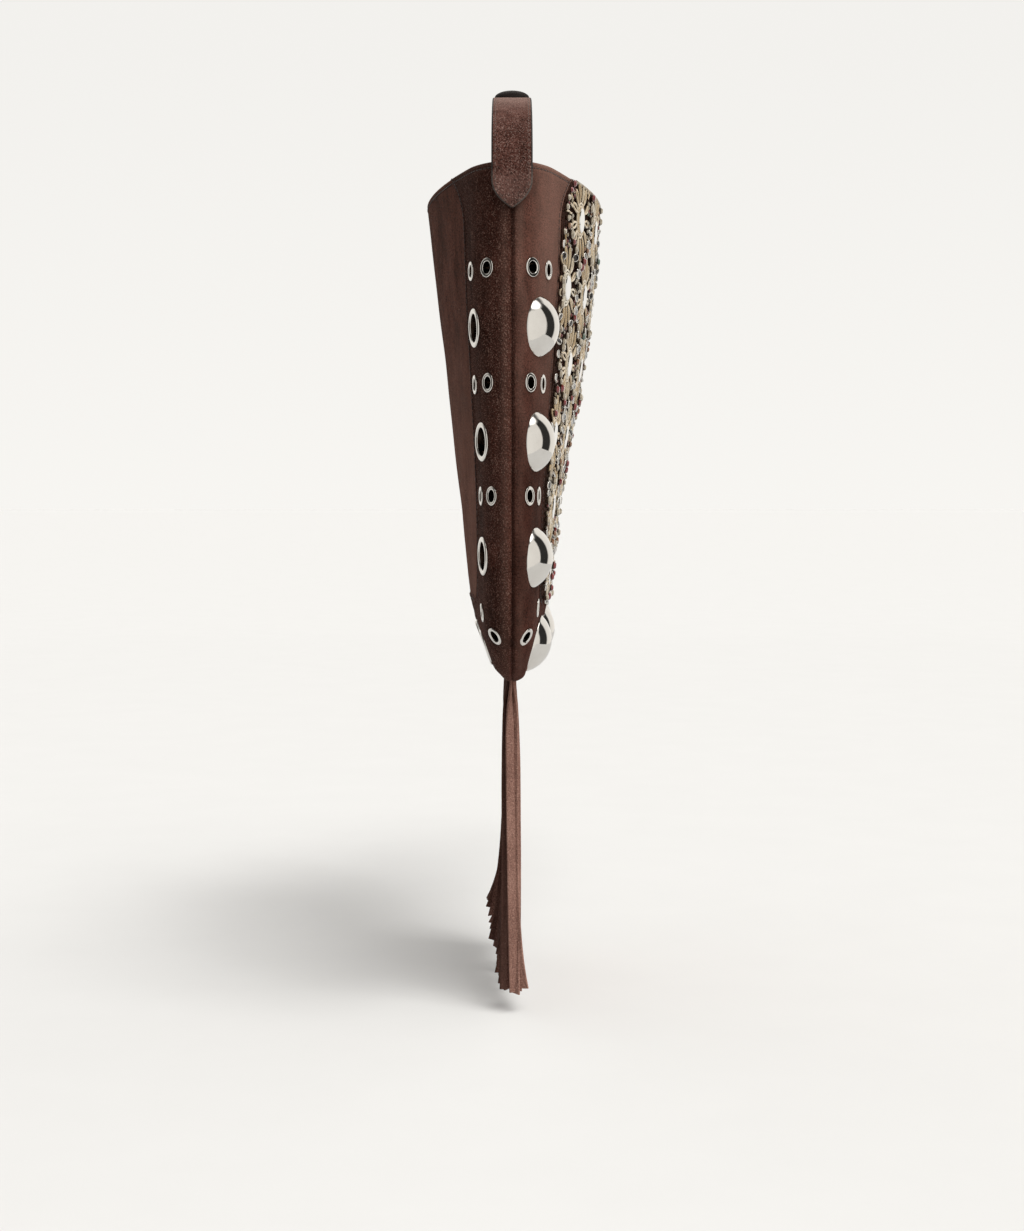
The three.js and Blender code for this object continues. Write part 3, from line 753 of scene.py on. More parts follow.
# The ground under the beads is a darker copy of the suede, as painted shade between the beads.
GROUND_SUEDE_PAINTED_SHADE = suede("bead_ground", (0.020, 0.0075, 0.0050), (0.040, 0.0160, 0.0110), (0.070, 0.031, 0.023),
                     (0.14, 0.085, 0.068), 1.1, 0.0)
INNER_SUEDE = suede("inner_suede", (0.010, 0.006, 0.005), (0.018, 0.011, 0.009), (0.030, 0.019, 0.015),
                    (0.06, 0.04, 0.034), 0.9, 0.0)
EDGE_PAINT = edge_paint("edge_paint")
GRIP_LEATHER = leather("dark_leather")
NICKEL = metal("nickel", (0.80, 0.775, 0.735), (0.86, 0.84, 0.80), 0.045)
# The inside of each eyelet's barrel is dark brown, as painted shade in the hole.
BARREL_PAINTED_SHADE = metal("eyelet_barrel", (0.060, 0.036, 0.026), (0.110, 0.072, 0.054), 0.32)
SILVER = metal("silver_beads", (0.62, 0.60, 0.56), (0.86, 0.84, 0.80), 0.16)
MIRROR = metal("mirror_glass", (0.86, 0.86, 0.85), (0.95, 0.95, 0.94), 0.02, 0.004)
TUBES = beads("champagne_tubes", [
    (0.0, (0.64, 0.43, 0.20)), (0.35, (0.88, 0.66, 0.38)),
    (0.75, (1.0, 0.82, 0.56)), (1.0, (1.0, 0.92, 0.74)),
], 0.22, 0.3, coat=0.4)
COLOURS = beads("coloured_seeds", [
    (0.0, (0.24, 0.020, 0.024)), (0.13, (0.42, 0.17, 0.045)), (0.22, (0.56, 0.46, 0.30)),
    (0.55, (0.72, 0.66, 0.55)), (0.80, (0.30, 0.20, 0.11)), (0.93, (0.14, 0.22, 0.15)),
    (0.97, (0.10, 0.12, 0.19)),
], 0.16, 0.35, "CONSTANT", 0.6)
CRYSTAL = beads("crystals", [
    (0.0, (0.70, 0.74, 0.78)), (0.6, (0.92, 0.93, 0.93)), (1.0, (0.78, 0.66, 0.50)),
], 0.03, 0.9, coat=1.0)
STONES = beads("coloured_stones", [
    (0.0, (0.36, 0.026, 0.034)), (0.18, (0.42, 0.19, 0.08)),
    (0.27, (0.80, 0.70, 0.53)), (0.94, (0.10, 0.20, 0.15)),
], 0.06, 0.25, "CONSTANT", 1.0)
HEARTS = beads("dark_hearts", [
    (0.0, (0.012, 0.012, 0.016)), (1.0, (0.03, 0.035, 0.05)),
], 0.12, 0.4, coat=0.8)
THREAD = thread("thread", (0.035, 0.016, 0.012), (0.090, 0.046, 0.036))
PALE_THREAD = thread("pale_thread", (0.060, 0.032, 0.026), (0.24, 0.165, 0.14))


# Suede walls

def shell(outer, inner, kept):
    """Closed wall between two grids of points, without the cells that are not kept. Gives the faces of the
    two sides, of the walls round the grid's rows and of the walls round its columns and holes."""
    rows, columns = outer.shape[:2]
    index = np.arange(rows * columns).reshape(rows, columns)
    below = index + rows * columns
    quads = grid_faces(rows, columns)[kept.ravel()]
    padded = np.pad(kept, 1)
    across = np.argwhere(padded[1:-1, :-1] != padded[1:-1, 1:])
    down = np.argwhere(padded[:-1, 1:-1] != padded[1:, 1:-1])
    i, j = across.T
    upright = np.stack([index[i, j], index[i + 1, j], below[i + 1, j], below[i, j]], -1)
    inner_edge = (j == columns - 1)
    i, j = down.T
    level = np.stack([index[i, j], index[i, j + 1], below[i, j + 1], below[i, j]], -1)
    faces = [quads, quads[:, ::-1] + rows * columns, level, upright[~inner_edge], upright[inner_edge]]
    return np.concatenate([outer.reshape(-1, 3), inner.reshape(-1, 3)]), faces


def rounded_off(distance, radius):
    """How far a rounded edge falls away at a distance from it."""
    rest = np.clip(radius - distance, 0, radius)
    return radius - np.sqrt(radius ** 2 - rest ** 2)


def groove(distance, place, depth, width=0.55):
    return depth * np.exp(-((distance - place) / width) ** 2)


def soft_waves(x, z, face):
    """Gentle unevenness of the leather, none at the side seams."""
    inside = np.clip((half_width_at(z) - np.abs(x)) / 30, 0, 1)
    wave = np.sin(x / 17 + 1.3 * face.side + z / 41) * np.sin(z / 29 + x / 53 + 0.7)
    fine = np.sin(x / 7.3 + z / 19 + face.side) * np.sin(z / 11 - x / 23)
    folds = np.sin(x / 9.5 + 0.6 * np.sin(z / 38)) * np.exp((z - RIM_Z) / 75)
    folds = folds * (0.45 if face is BACK else 0.1)
    from_rim = smooth_step(RIM_Z - z, 4, 40)
    return inside * from_rim * (0.45 * wave + 0.16 * fine + folds)


def keep_side(face, points):
    """Points kept on their own side of the seam plane, where the two borders meet."""
    points[..., 1] = face.side * np.maximum(face.side * points[..., 1], 0)
    return points


def hardware_seats(face):
    """Every piece of metal set in a border: its places, its frames and its seat in the suede."""
    seats = [(*hardware_frames(face, places), SMALL_SEAT) for places in (NEAR_PLACES, FAR_PLACES)]
    seats.append((*hardware_frames(face, BIG_PLACES), DOME_SEAT if face is FRONT else LARGE_SEAT))
    return seats


def press_flat(face, points, free):
    """Suede drawn flat under each piece of metal, so that it meets the edge of the metal all round."""
    for places, frames, seat in hardware_seats(face):
        for place, axes in zip(places, frames):
            away = points - place
            height = away @ axes[2]
            radius = np.sqrt(np.maximum(np.sum(away ** 2, -1) - height ** 2, 0))
            held = 1 - smooth_step(radius, seat.radius, seat.radius + seat.blend)
            held *= free * (np.abs(height) < seat.radius)
            points = points - (held * (height + seat.sunk))[..., None] * axes[2]
    return points


def rim_fold(to_rim):
    """The extra thickness of the suede that is folded in at the rim."""
    return RIM_FOLD * smooth_step(RIM_FOLD_DEPTH - to_rim, 0, FOLD_BLEND)


def border_tones(face, distance, to_edge, to_rim, on_bottom):
    """Where a border is worn pale, where light and sheen are painted on it, and where shade is painted on it.
    """
    wear_and_painted_light = SEAM_WEAR * np.exp(-((distance - 4) / 2.5) ** 2) * (1 - on_bottom)
    wear_and_painted_light = wear_and_painted_light + RIM_WEAR * np.exp(-to_rim / RIM_WEAR_DEPTH) + EDGE_WEAR * np.exp(-to_edge / 1)
    lower = smooth_step(to_rim, *LOWER_BAND)
    # Painted light and sheen on the upper front and painted shade lower down, lifted again at the foot;
    # painted shade all over the back, more at the top, lifted at the foot
    if face is FRONT:
        wear_and_painted_light += (FRONT_PAINTED_LIGHT + FRONT_PAINTED_SHEEN * smooth_step(distance, *FRONT_SHEEN_BAND)) * (1 - lower)
        foot = 1 - FRONT_FOOT_LIGHT * smooth_step(to_rim, *FRONT_FOOT_BAND)
        shade = (FRONT_SHADE + FRONT_LOWER_SHADE * lower) * foot
    else:
        shade = BACK_SHADE + BACK_TOP_SHADE * (1 - smooth_step(to_rim, *BACK_TOP_BAND))
        shade = shade - BACK_FOOT_LIGHT * smooth_step(to_rim, *BACK_FOOT_BAND)
    wear_and_painted_light = np.clip(wear_and_painted_light, 0, 1).ravel()
    shade = shade.ravel()
    return {
        "wear_and_painted_light": np.concatenate([wear_and_painted_light, wear_and_painted_light * 0]),
        "shade": np.concatenate([shade, shade]),
        "pale": np.full(2 * len(wear_and_painted_light), EDGE_PALE),
    }


def border(face):
    seam = whole_seam(BORDER_STEP)
    even = np.linspace(EVEN_FROM_SEAM, BORDER_WIDTH - EVEN_FROM_EDGE, EVEN_COLUMNS)
    columns = np.concatenate([NEAR_SEAM, even, BORDER_WIDTH - NEAR_EDGE])
    width = border_width_at(seam.z)[:, None]
    distance = columns * (width / BORDER_WIDTH)
    x, z = walk_in(face, seam, distance)
    point, normal = place_on(face, x, z)
    turned_in = seam.in_z < 0.999
    normal[turned_in, 0] = np.stack([-seam.in_x, np.zeros(len(seam.x)), -seam.in_z], -1)[turned_in]
    to_edge = width - distance
    to_rim = RIM_Z - z
    on_bottom = (seam.in_z ** 6)[:, None]
    pinch = SEAM_GROOVE * np.clip(1 - distance / SEAM_GROOVE_WIDTH, 0, 1) ** 2 * (1 - on_bottom)
    swell = groove(distance, SEAM_SWELL_PLACE, SEAM_SWELL, SEAM_SWELL_WIDTH) * (1 - on_bottom)
    lip = rounded_off(distance, BOTTOM_LIP) * on_bottom
    proud = EDGE_PROUD * (1 - smooth_step(to_edge, *PROUD_BAND))
    lift = soft_waves(x, z, face) + proud + swell - pinch - lip
    lift -= rounded_off(to_edge, EDGE_ROUND) + groove(to_edge, EDGE_STITCH, STITCH_GROOVE)
    lift -= rounded_off(to_rim, RIM_ROUND) + groove(to_rim, RIM_STITCH, STITCH_GROOVE)
    thick = -WALL - rim_fold(to_rim) + np.minimum(lift, 0) * 0.2
    seated = press_flat(face, point, smooth_step(distance, 0, 7) * smooth_step(to_edge, 0, 4))
    outer, inner = seated + normal * lift[..., None], seated + normal * thick[..., None]
    outer[[0, -1], :, 2] = RIM_Z
    inner[[0, -1], :, 2] = RIM_Z
    outer, inner = keep_side(face, outer), keep_side(face, inner)
    points, faces = shell(outer, inner, cells_outside_holes(face, outer))
    indices = np.repeat([0, 2, 0, 0, 1], [len(f) for f in faces])
    name = f"{face.name}_border"
    make_piece(name + "_suede", points, faces, [SUEDE, EDGE_PAINT, INNER_SUEDE], "suede", [name],
               indices=indices, tones=border_tones(face, distance, to_edge, to_rim, on_bottom))


def cells_outside_holes(face, outer):
    """Which cells of a border lie outside the eyelet holes that their flanges cover."""
    centre = (outer[:-1, :-1] + outer[1:, :-1] + outer[:-1, 1:] + outer[1:, 1:]) / 4
    holes = [(NEAR_PLACES, SMALL_EYELET), (FAR_PLACES, SMALL_EYELET)]
    if face is BACK:
        holes.append((BIG_PLACES, LARGE_EYELET))
    kept = np.ones(centre.shape[:2], bool)
    for places, eyelet in holes:
        for place in hardware_frames(face, places)[0]:
            kept &= np.linalg.norm(centre - place, axis=-1) > (eyelet["outer"] + eyelet["hole"]) / 2
    return kept


def panel(face, lift, step, name, material, slot, node):
    seam = side_seam(step, 1)
    edge_x, edge_z = (a[:, 0] for a in walk_in(face, seam, (border_width_at(seam.z) + PANEL_GAP)[:, None]))
    across = np.sin(np.linspace(-1, 1, int(2 * edge_x[0] / step)) * PANEL_CROWD) / math.sin(PANEL_CROWD)
    below_z = walk_in(face, bottom_seam(FLAT_HALF * across), np.array([BORDER_WIDTH + PANEL_GAP]))[1][:, 0]
    ease = ((RIM_Z - edge_z) / (RIM_Z - edge_z[-1])) ** PANEL_EASE
    x = edge_x[:, None] * across
    z = edge_z[:, None] + (below_z - edge_z[-1]) * ease[:, None]
    point, normal = place_on(face, x, z)
    to_rim = RIM_Z - z
    rise = lift + soft_waves(x, z, face) - rounded_off(to_rim, RIM_ROUND)
    rise = rise - groove(to_rim, RIM_STITCH, STITCH_GROOVE)
    outer, inner = point + normal * rise[..., None], point - normal * (WALL + rim_fold(to_rim))[..., None]
    outer[0, :, 2] = inner[0, :, 2] = RIM_Z
    points, faces = shell(outer, inner, np.ones((x.shape[0] - 1, x.shape[1] - 1), bool))
    # Wear at the rim, and painted sheen lower down, where the nap is seen edge-on
    wear_and_painted_light = PANEL_RIM_WEAR * np.exp(-to_rim / RIM_WEAR_DEPTH)
    wear_and_painted_light = (wear_and_painted_light + PANEL_PAINTED_SHEEN * smooth_step(to_rim, *PANEL_SHEEN_BAND)).ravel()
    indices = np.repeat([0, 1, 0, 0, 0], [len(f) for f in faces])
    make_piece(name, points, faces, [material, INNER_SUEDE], slot, [node],
               indices=indices, tones={"wear_and_painted_light": np.concatenate([wear_and_painted_light, wear_and_painted_light * 0])})


# Metal

def build_domes():
    ball = (DOME_RADIUS ** 2 + DOME_HEIGHT ** 2) / (2 * DOME_HEIGHT)
    angles = np.linspace(math.asin(DOME_RADIUS / ball), 0, DOME_STEPS)
    profile = [(0, DOME_FOOT[0][1])] + [(DOME_RADIUS + step, height) for step, height in DOME_FOOT]
    profile += [(ball * math.sin(a), DOME_HEIGHT - ball + ball * math.cos(a)) for a in angles]
    places, frames = hardware_frames(FRONT, BIG_PLACES)
    points, faces = copies(turned(profile, DOME_SIDES), places, frames, 1.0)
    names = [f"dome_stud_{i + 1:02d}" for i in range(len(places))]
    make_piece("dome_studs", points, faces, [NICKEL], "nickel", names)


def eyelet_profile(outer, hole, lip):
    """A rounded flange, its inner roll and the barrel down through the suede."""
    middle = (outer + hole) / 2
    barrel = hole + BARREL_WALL
    rows = [(hole, -BARREL_DEPTH), (hole, lip * 0.45)]
    for angle in np.linspace(math.pi, 0, 13)[1:-1]:
        half = (outer - hole) / 2
        rows.append((middle + half * math.cos(angle), lip * (0.45 + 0.55 * math.sin(angle) ** 0.8)))
    rows += [(outer, lip * 0.35), (outer - 0.1, -0.5), (barrel, -0.5)]
    return rows + [(barrel, -BARREL_DEPTH), (hole, -BARREL_DEPTH)]


def eyelet(sizes, sides):
    """One eyelet, with the faces inside its barrel apart from the rest, for the painted shade in the hole."""
    points, (faces,) = turned_hollow(eyelet_profile(**sizes), sides)
    return points, [faces[sides:], faces[:sides]]


def eyelet_piece(name, points, face_sets, nodes=()):
    indices = np.concatenate([np.full(len(faces), i % 2) for i, faces in enumerate(face_sets)])
    make_piece(name, points, face_sets, [NICKEL, BARREL_PAINTED_SHADE], "nickel", nodes, indices=indices)


def build_eyelets():
    large = eyelet(LARGE_EYELET, LARGE_SIDES)
    places, frames = hardware_frames(BACK, BIG_PLACES)
    names = [f"large_eyelet_{i + 1:02d}" for i in range(len(places))]
    eyelet_piece("large_eyelets", *copies(large, places, frames, 1.0), names)
    small = eyelet(SMALL_EYELET, SMALL_SIDES)
    for face in (FRONT, BACK):
        sets = [copies(small, *hardware_frames(face, places), 1.0) for places in (NEAR_PLACES, FAR_PLACES)]
        eyelet_piece(f"{face.name}_small_eyelets", *gather(sets))


# Embroidery

MIRRORS = np.array([
    (shift + MIRROR_PITCH * (i - (count - 1) / 2), RIM_Z - below)
    for below, count, shift in MIRROR_ROWS for i in range(count)
])
TUBE = turned([(0.2, -0.5), (0.46, -0.5), (0.5, -0.45), (0.5, 0.45), (0.46, 0.5), (0.2, 0.5)], 6)
SEED_BEAD = turned([(0.14, -0.3), (0.36, -0.36), (0.5, -0.14), (0.5, 0.14), (0.36, 0.36), (0.14, 0.3)], 8)
STONE = turned([(0.42, -0.1), (0.5, 0.05), (0.5, 0.12), (0.34, 0.34), (0.2, 0.40)], 8)
CUP_PROFILE = [(0.5, -0.2), (0.62, -0.2), (0.66, 0.0), (0.60, 0.2), (0.52, 0.22), (0.49, 0.1), (0.5, -0.2)]
CUP = turned_hollow(CUP_PROFILE, 16)


def panel_edge():
    """The outline of the beaded panel, as points of x and z from the rim at -X to the rim at +X."""
    seam = whole_seam(EDGE_STEP)
    x, z = walk_in(FRONT, seam, (border_width_at(seam.z) + GAP)[:, None])
    return np.stack([x[:, 0], z[:, 0]], -1)


EDGE = panel_edge()


def room_lattice():
    """Distances from the edge of the panel on a lattice of places, below nought outside it."""
    x = np.arange(EDGE[:, 0].min() - LATTICE_MARGIN, EDGE[:, 0].max() + LATTICE_MARGIN, LATTICE)
    z = np.arange(EDGE[:, 1].min() - LATTICE_MARGIN, RIM_Z + 2, LATTICE)
    across, up = np.meshgrid(x, z, indexing="ij")
    crossings = np.zeros(across.shape, int)
    away = np.full(across.shape, np.inf)
    for (x0, z0), (x1, z1) in zip(EDGE, np.roll(EDGE, -1, axis=0)):
        spans = (z0 > up) != (z1 > up)
        meets = x0 + (up - z0) * (x1 - x0) / (z1 - z0 if z1 != z0 else 1)
        crossings += spans & (across < meets)
        away = np.minimum(away, np.hypot(across - x0, up - z0))
    return x, z, np.minimum(np.where(crossings % 2 == 1, away, -away), RIM_Z - up - RIM_ROOM)


LATTICE_X, LATTICE_Z, ROOM = room_lattice()


def room_in_panel(x, z):
    """Distance from the edge of the panel, below nought outside it."""
    i = np.clip((np.asarray(x) - LATTICE_X[0]) / LATTICE, 0, len(LATTICE_X) - 1.001)
    j = np.clip((np.asarray(z) - LATTICE_Z[0]) / LATTICE, 0, len(LATTICE_Z) - 1.001)
    a, b = i.astype(int), j.astype(int)
    i, j = i - a, j - b
    low = ROOM[a, b] * (1 - i) + ROOM[a + 1, b] * i
    high = ROOM[a, b + 1] * (1 - i) + ROOM[a + 1, b + 1] * i
    return low * (1 - j) + high * j


def sewn(shape, x, z, angle, lift, sizes, upright=False, lean=0.0):
    """Copies of a bead on the front: its axis lies along an angle in the surface, or stands or leans."""
    x, z, angle = np.broadcast_arrays(np.asarray(x, float), np.asarray(z, float), np.asarray(angle, float))
    point, normal = place_on(FRONT, x, z, np.broadcast_to(lift, x.shape))
    flat = np.stack([np.cos(angle), np.zeros(x.shape), np.sin(angle)], -1)
    along = unit(flat - np.sum(flat * normal, -1, keepdims=True) * normal)
    side = np.cross(normal, along)
    lean = np.broadcast_to(lean, x.shape)[:, None]
    c, s = np.cos(lean), np.sin(lean)
    normal, along = normal * c + along * s, along * c - normal * s
    frames = np.stack([along, side, normal] if upright else [side, normal, along], 1)
    return copies(shape, point, frames, sizes)


def ray_reach(mirror, angle):
    """How far a ray from a mirror goes before it meets the next mirror's rays or the edge of the panel."""
    x, z = MIRRORS[mirror]
    toward = np.array([math.cos(angle), math.sin(angle)])
    others = np.delete(MIRRORS, mirror, 0) - (x, z)
    along = others @ toward
    facing = along > 1e-6
    reach = np.min(np.sum(others[facing] ** 2, 1) / (2 * along[facing]), initial=RAY_LIMIT)
    steps = np.arange(RAY_START, reach, RAY_STEP)
    room = room_in_panel(x + toward[0] * steps, z + toward[1] * steps)
    blocked = np.flatnonzero(room < EDGE_ROOM)
    return min(reach, RAY_LIMIT) if len(blocked) == 0 else steps[blocked[0]]


def stone_places():
    """Places between three mirrors, each as far from all three and clear of the others."""
    found = []
    for a in range(len(MIRRORS)):
        for b in range(a):
            for c in range(b):
                p, q, r = MIRRORS[[a, b, c]]
                matrix = 2 * np.array([q - p, r - p])
                if abs(np.linalg.det(matrix)) < 1e-6:
                    continue
                centre = np.linalg.solve(matrix, [q @ q - p @ p, r @ r - p @ p])
                radius = np.hypot(*(centre - p))
                if radius < ROUND_LIMIT and np.min(np.hypot(*(MIRRORS - centre).T)) > radius - 1e-6:
                    found.append(centre)
    found = np.array(found)
    return spaced(found[room_in_panel(found[:, 0], found[:, 1]) > STONE_ROOM], STONES_APART)


def spaced(spots, apart):
    """The spots that are left when each keeps its distance from those before it."""
    kept = []
    for spot in spots:
        if all(np.hypot(*(spot - other)) > apart for other in kept):
            kept.append(spot)
    return np.array(kept)


def nearest(places, spots):
    """Distance from each place to the nearest of the spots."""
    return np.min(np.hypot(places[:, None, 0] - spots[:, 0], places[:, None, 1] - spots[:, 1]), axis=1)


def bead_piece(name, shape, made, material, low=0.0, smooth=True):
    """A piece of the embroidery from copies of one bead, each with a tone of its own."""
    size = len(shape[0])
    tone = np.repeat(RNG.uniform(low, 1.0, len(made[0]) // size), size)
    make_piece(name, *made, [material], "embroidery", smooth=smooth, tones={"tone": tone})


def build_mirrors():
    top = MIRROR_RADIUS - MIRROR_BEVEL
    profile = [(0, 0), (MIRROR_RADIUS, 0), (MIRROR_RADIUS, MIRROR_SIDE)]
    profile += [(top, MIRROR_PROUD), (0, MIRROR_PROUD)]
    names = [f"mirror_{i + 1:02d}" for i in range(len(MIRRORS))]
    disc = turned(profile, MIRROR_SIDES)
    discs = sewn(disc, MIRRORS[:, 0], MIRRORS[:, 1], 0.0, MIRROR_LIFT, 1.0, upright=True)
    make_piece("mirrors", *discs, [MIRROR], "mirror_glass", names, smooth=False)


def build_rim_beads():
    """A row of small beads along the rim of the panel."""
    x = np.arange(EDGE[0, 0] + 2, -EDGE[0, 0] - 1, SEED)
    z = np.full(len(x), RIM_Z - RIM_BEAD_BELOW)
    made = sewn(SEED_BEAD, x, z, 0.0, BED_LIFT + RIM_BEAD_LIFT, RIM_BEAD_SIZE)
    bead_piece("rim_beads", SEED_BEAD, made, COLOURS, 0.1)


def strands(x, z, lift, radius):
    """Closed loops of beaded strand laid on the front, one for each row of places."""
    point, normal = place_on(FRONT, x, z, lift)
    ahead = np.roll(point, -1, 1) - np.roll(point, 1, 1)
    side = unit(np.cross(normal, ahead))
    up = unit(np.cross(ahead, side))
    count, rows = x.shape
    turn = np.arange(STRAND_SIDES) * (2 * math.pi / STRAND_SIDES)
    round_about = np.cos(turn)[:, None] * side[:, :, None] + np.sin(turn)[:, None] * up[:, :, None]
    points = point[:, :, None] + radius * round_about
    quads = grid_faces(rows + 1, STRAND_SIDES, around=True) % (rows * STRAND_SIDES)
    step = (np.arange(count) * rows * STRAND_SIDES)[:, None, None]
    return points.reshape(-1, 3), [(quads[None] + step).reshape(-1, 4)]


def build_petals():
    """Rings of strand round each mirror, and pointed loops of it that stand out from them like petals."""
    theta = np.linspace(-math.pi, math.pi, PETAL_STEPS, endpoint=False)
    out = (1 + np.cos(theta)) / 2
    lift = np.full(PETAL_STEPS, BED_LIFT + STRAND_RADIUS)
    rows = []
    for mirror, (x, z) in enumerate(MIRRORS):
        for i in range(PETALS):
            angle = (i + RNG.uniform(-0.12, 0.12)) * 2 * math.pi / PETALS
            length = PETAL_LENGTH * RNG.uniform(0.92, 1.1)
            length = min(length, ray_reach(mirror, angle) - PETAL_START - PETAL_CLEAR)
            if length < PETAL_LEAST:
                continue
            radius = PETAL_START + length * out
            aside = PETAL_HALF * RNG.uniform(0.85, 1.15) * np.sin(theta) * np.sqrt(out)
            c, s = math.cos(angle), math.sin(angle)
            arch = PETAL_ARCH * RNG.uniform(0.6, 1.3) * np.sin(math.pi * out)
            rows.append((x + radius * c - aside * s, z + radius * s + aside * c, lift + arch))
        for radius in COLLAR_RADII:
            rows.append((x + radius * np.cos(theta), z + radius * np.sin(theta), lift))
    x, z, lift = (np.array(values) for values in zip(*rows))
    tone = np.repeat(RNG.uniform(0.15, 1, len(rows)), PETAL_STEPS * STRAND_SIDES)
    made = strands(x, z, lift, STRAND_RADIUS)
    make_piece("petal_strands", *made, [TUBES], "embroidery", tones={"tone": tone})


def build_rays(stones):
    """Tube beads outside the petals of each mirror, as far as the next mirror's or the panel's edge."""
    tubes = []

    def add_tube(mirror, angle, start, end):
        mid = MIRRORS[mirror] + (start + end) / 2 * np.array([math.cos(angle), math.sin(angle)])
        tubes.append((*mid, angle + RNG.normal(0, 0.06), end - start))

    for mirror in range(len(MIRRORS)):
        for i in range(RAYS):
            angle = (i + RNG.uniform(-0.2, 0.2)) * 2 * math.pi / RAYS
            reach = ray_reach(mirror, angle) - RAY_CLEAR
            start = PETAL_START + PETAL_LENGTH + RAY_FROM_PETALS + RAY_STAGGER * (i % 2)
            while reach - start > TUBE_LEAST:
                end = min(start + TUBE_LENGTH * RNG.uniform(0.85, 1.05), reach)
                add_tube(mirror, angle, start, end)
                start = end + TUBE_GAP
    tubes = np.array(tubes)
    tubes = tubes[nearest(tubes, stones) > TUBE_CLEAR + tubes[:, 3] * 0.5]
    sizes = np.stack([np.full(len(tubes), 2 * TUBE_RADIUS)] * 2 + [tubes[:, 3]], -1)
    sizes[:, :2] *= RNG.uniform(0.88, 1.12, (len(tubes), 1))
    lift = BED_LIFT + TUBE_RADIUS + RNG.uniform(0, TUBE_PILE, len(tubes))
    bead_piece("tube_beads", TUBE, sewn(TUBE, tubes[:, 0], tubes[:, 1], tubes[:, 2], lift, sizes), TUBES)
    return tubes


def filling_seeds(tubes, stones):
    """Seed beads on the suede that is still bare outside the petals."""
    along = tubes[:, 3:] * np.stack([np.cos(tubes[:, 2]), np.sin(tubes[:, 2])], -1)
    taken = [stones, *(tubes[:, :2] + share * along for share in np.linspace(-0.5, 0.5, 7))]
    taken = np.concatenate(taken)
    tree = kdtree.KDTree(len(taken))
    for index, (x, z) in enumerate(taken):
        tree.insert((x, z, 0), index)
    tree.balance()
    x = RNG.uniform(EDGE[:, 0].min(), EDGE[:, 0].max(), FILL_TRIES)
    z = RNG.uniform(EDGE[:, 1].min(), RIM_Z, FILL_TRIES)
    spots = np.stack([x, z], -1)
    bare = room_in_panel(x, z) > FILL_FROM_EDGE
    bare &= nearest(spots, MIRRORS) > PETAL_START + PETAL_LENGTH
    bare &= nearest(spots, stones) > FILL_FROM_STONE
    fills = []
    for spot in spots[bare]:
        if tree.find((*spot, 0))[2] < FILL_CLEAR:
            continue
        if fills and np.min(np.hypot(*(np.array(fills) - spot).T)) < SEED:
            continue
        fills.append(spot)
    fills = np.array(fills)
    return np.column_stack([fills, RNG.uniform(0, math.pi, len(fills))])


def boundary_places():
    """Places along the lines half way between neighbouring mirrors and along the edge of the panel."""
    found = []
    for a in range(len(MIRRORS)):
        for b in range(a):
            p, q = MIRRORS[a], MIRRORS[b]
            apart = np.hypot(*(q - p))
            if apart > NEIGHBOURS:
                continue
            line = np.array([p[1] - q[1], q[0] - p[0]]) / apart
            for reach in np.arange(-LINE_REACH, LINE_REACH + 1, CUP_PITCH):
                spot = (p + q) / 2 + line * reach
                gaps = np.hypot(*(MIRRORS - spot).T)
                if np.min(np.delete(gaps, [a, b])) > gaps[a]:
                    found.append(spot)
    run = np.concatenate([[0], np.cumsum(np.hypot(*np.diff(EDGE, axis=0).T))])
    at = np.arange(3.0, run[-1], CUP_PITCH)
    line = np.stack([np.interp(at, run, EDGE[:, 0]), np.interp(at, run, EDGE[:, 1])], -1)
    ahead = np.gradient(line, axis=0)
    found.extend(line + unit(np.stack([-ahead[:, 1], ahead[:, 0]], -1)) * CUP_FROM_EDGE)
    clear = [spot for spot in found if np.min(np.hypot(*(MIRRORS - spot).T)) > RAY_START + 1]
    kept = spaced(clear, CUP_PITCH * 0.8)
    return kept[room_in_panel(kept[:, 0], kept[:, 1]) > EDGE_ROOM]


def build_stones(places, big):
    """Silver cups with dark hearts, coloured stones, and crystals in cups at the big places."""
    kind = RNG.uniform(0, 1, len(places))
    cups, stones = places[kind < CUP_SHARE], places[kind >= CUP_SHARE]
    turn = RNG.uniform(0, 2 * math.pi, len(cups))
    lift = BED_LIFT + CUP_LIFT + RNG.uniform(0, 0.8, len(cups))
    lean = RNG.uniform(0, CUP_LEAN, len(cups))
    rings = [sewn(CUP, cups[:, 0], cups[:, 1], turn, lift, CUP_SIZE, True, lean)]
    rings.append(sewn(CUP, big[:, 0], big[:, 1], 0.0, BED_LIFT + CUP_LIFT, BIG_CUP_SIZE, upright=True))
    make_piece("silver_cups", *gather(rings), [SILVER], "embroidery")
    hearts = sewn(STONE, cups[:, 0], cups[:, 1], turn, lift, HEART_SIZE, True, lean)
    bead_piece("dark_hearts", STONE, hearts, HEARTS, smooth=False)
    turn = RNG.uniform(0, math.pi, len(stones))
    sizes = np.full(3, STONE_SIZE) * RNG.uniform(0.85, 1.25, (len(stones), 1))
    lift = BED_LIFT + STONE_LIFT + RNG.uniform(0, 0.9, len(stones))
    made = sewn(STONE, stones[:, 0], stones[:, 1], turn, lift, sizes, upright=True)
    bead_piece("coloured_stones", STONE, made, STONES, smooth=False)
    crystals = sewn(STONE, big[:, 0], big[:, 1], 0.0, BED_LIFT + CRYSTAL_LIFT, CRYSTAL_SIZE, upright=True)
    bead_piece("crystals", STONE, crystals, CRYSTAL, smooth=False)


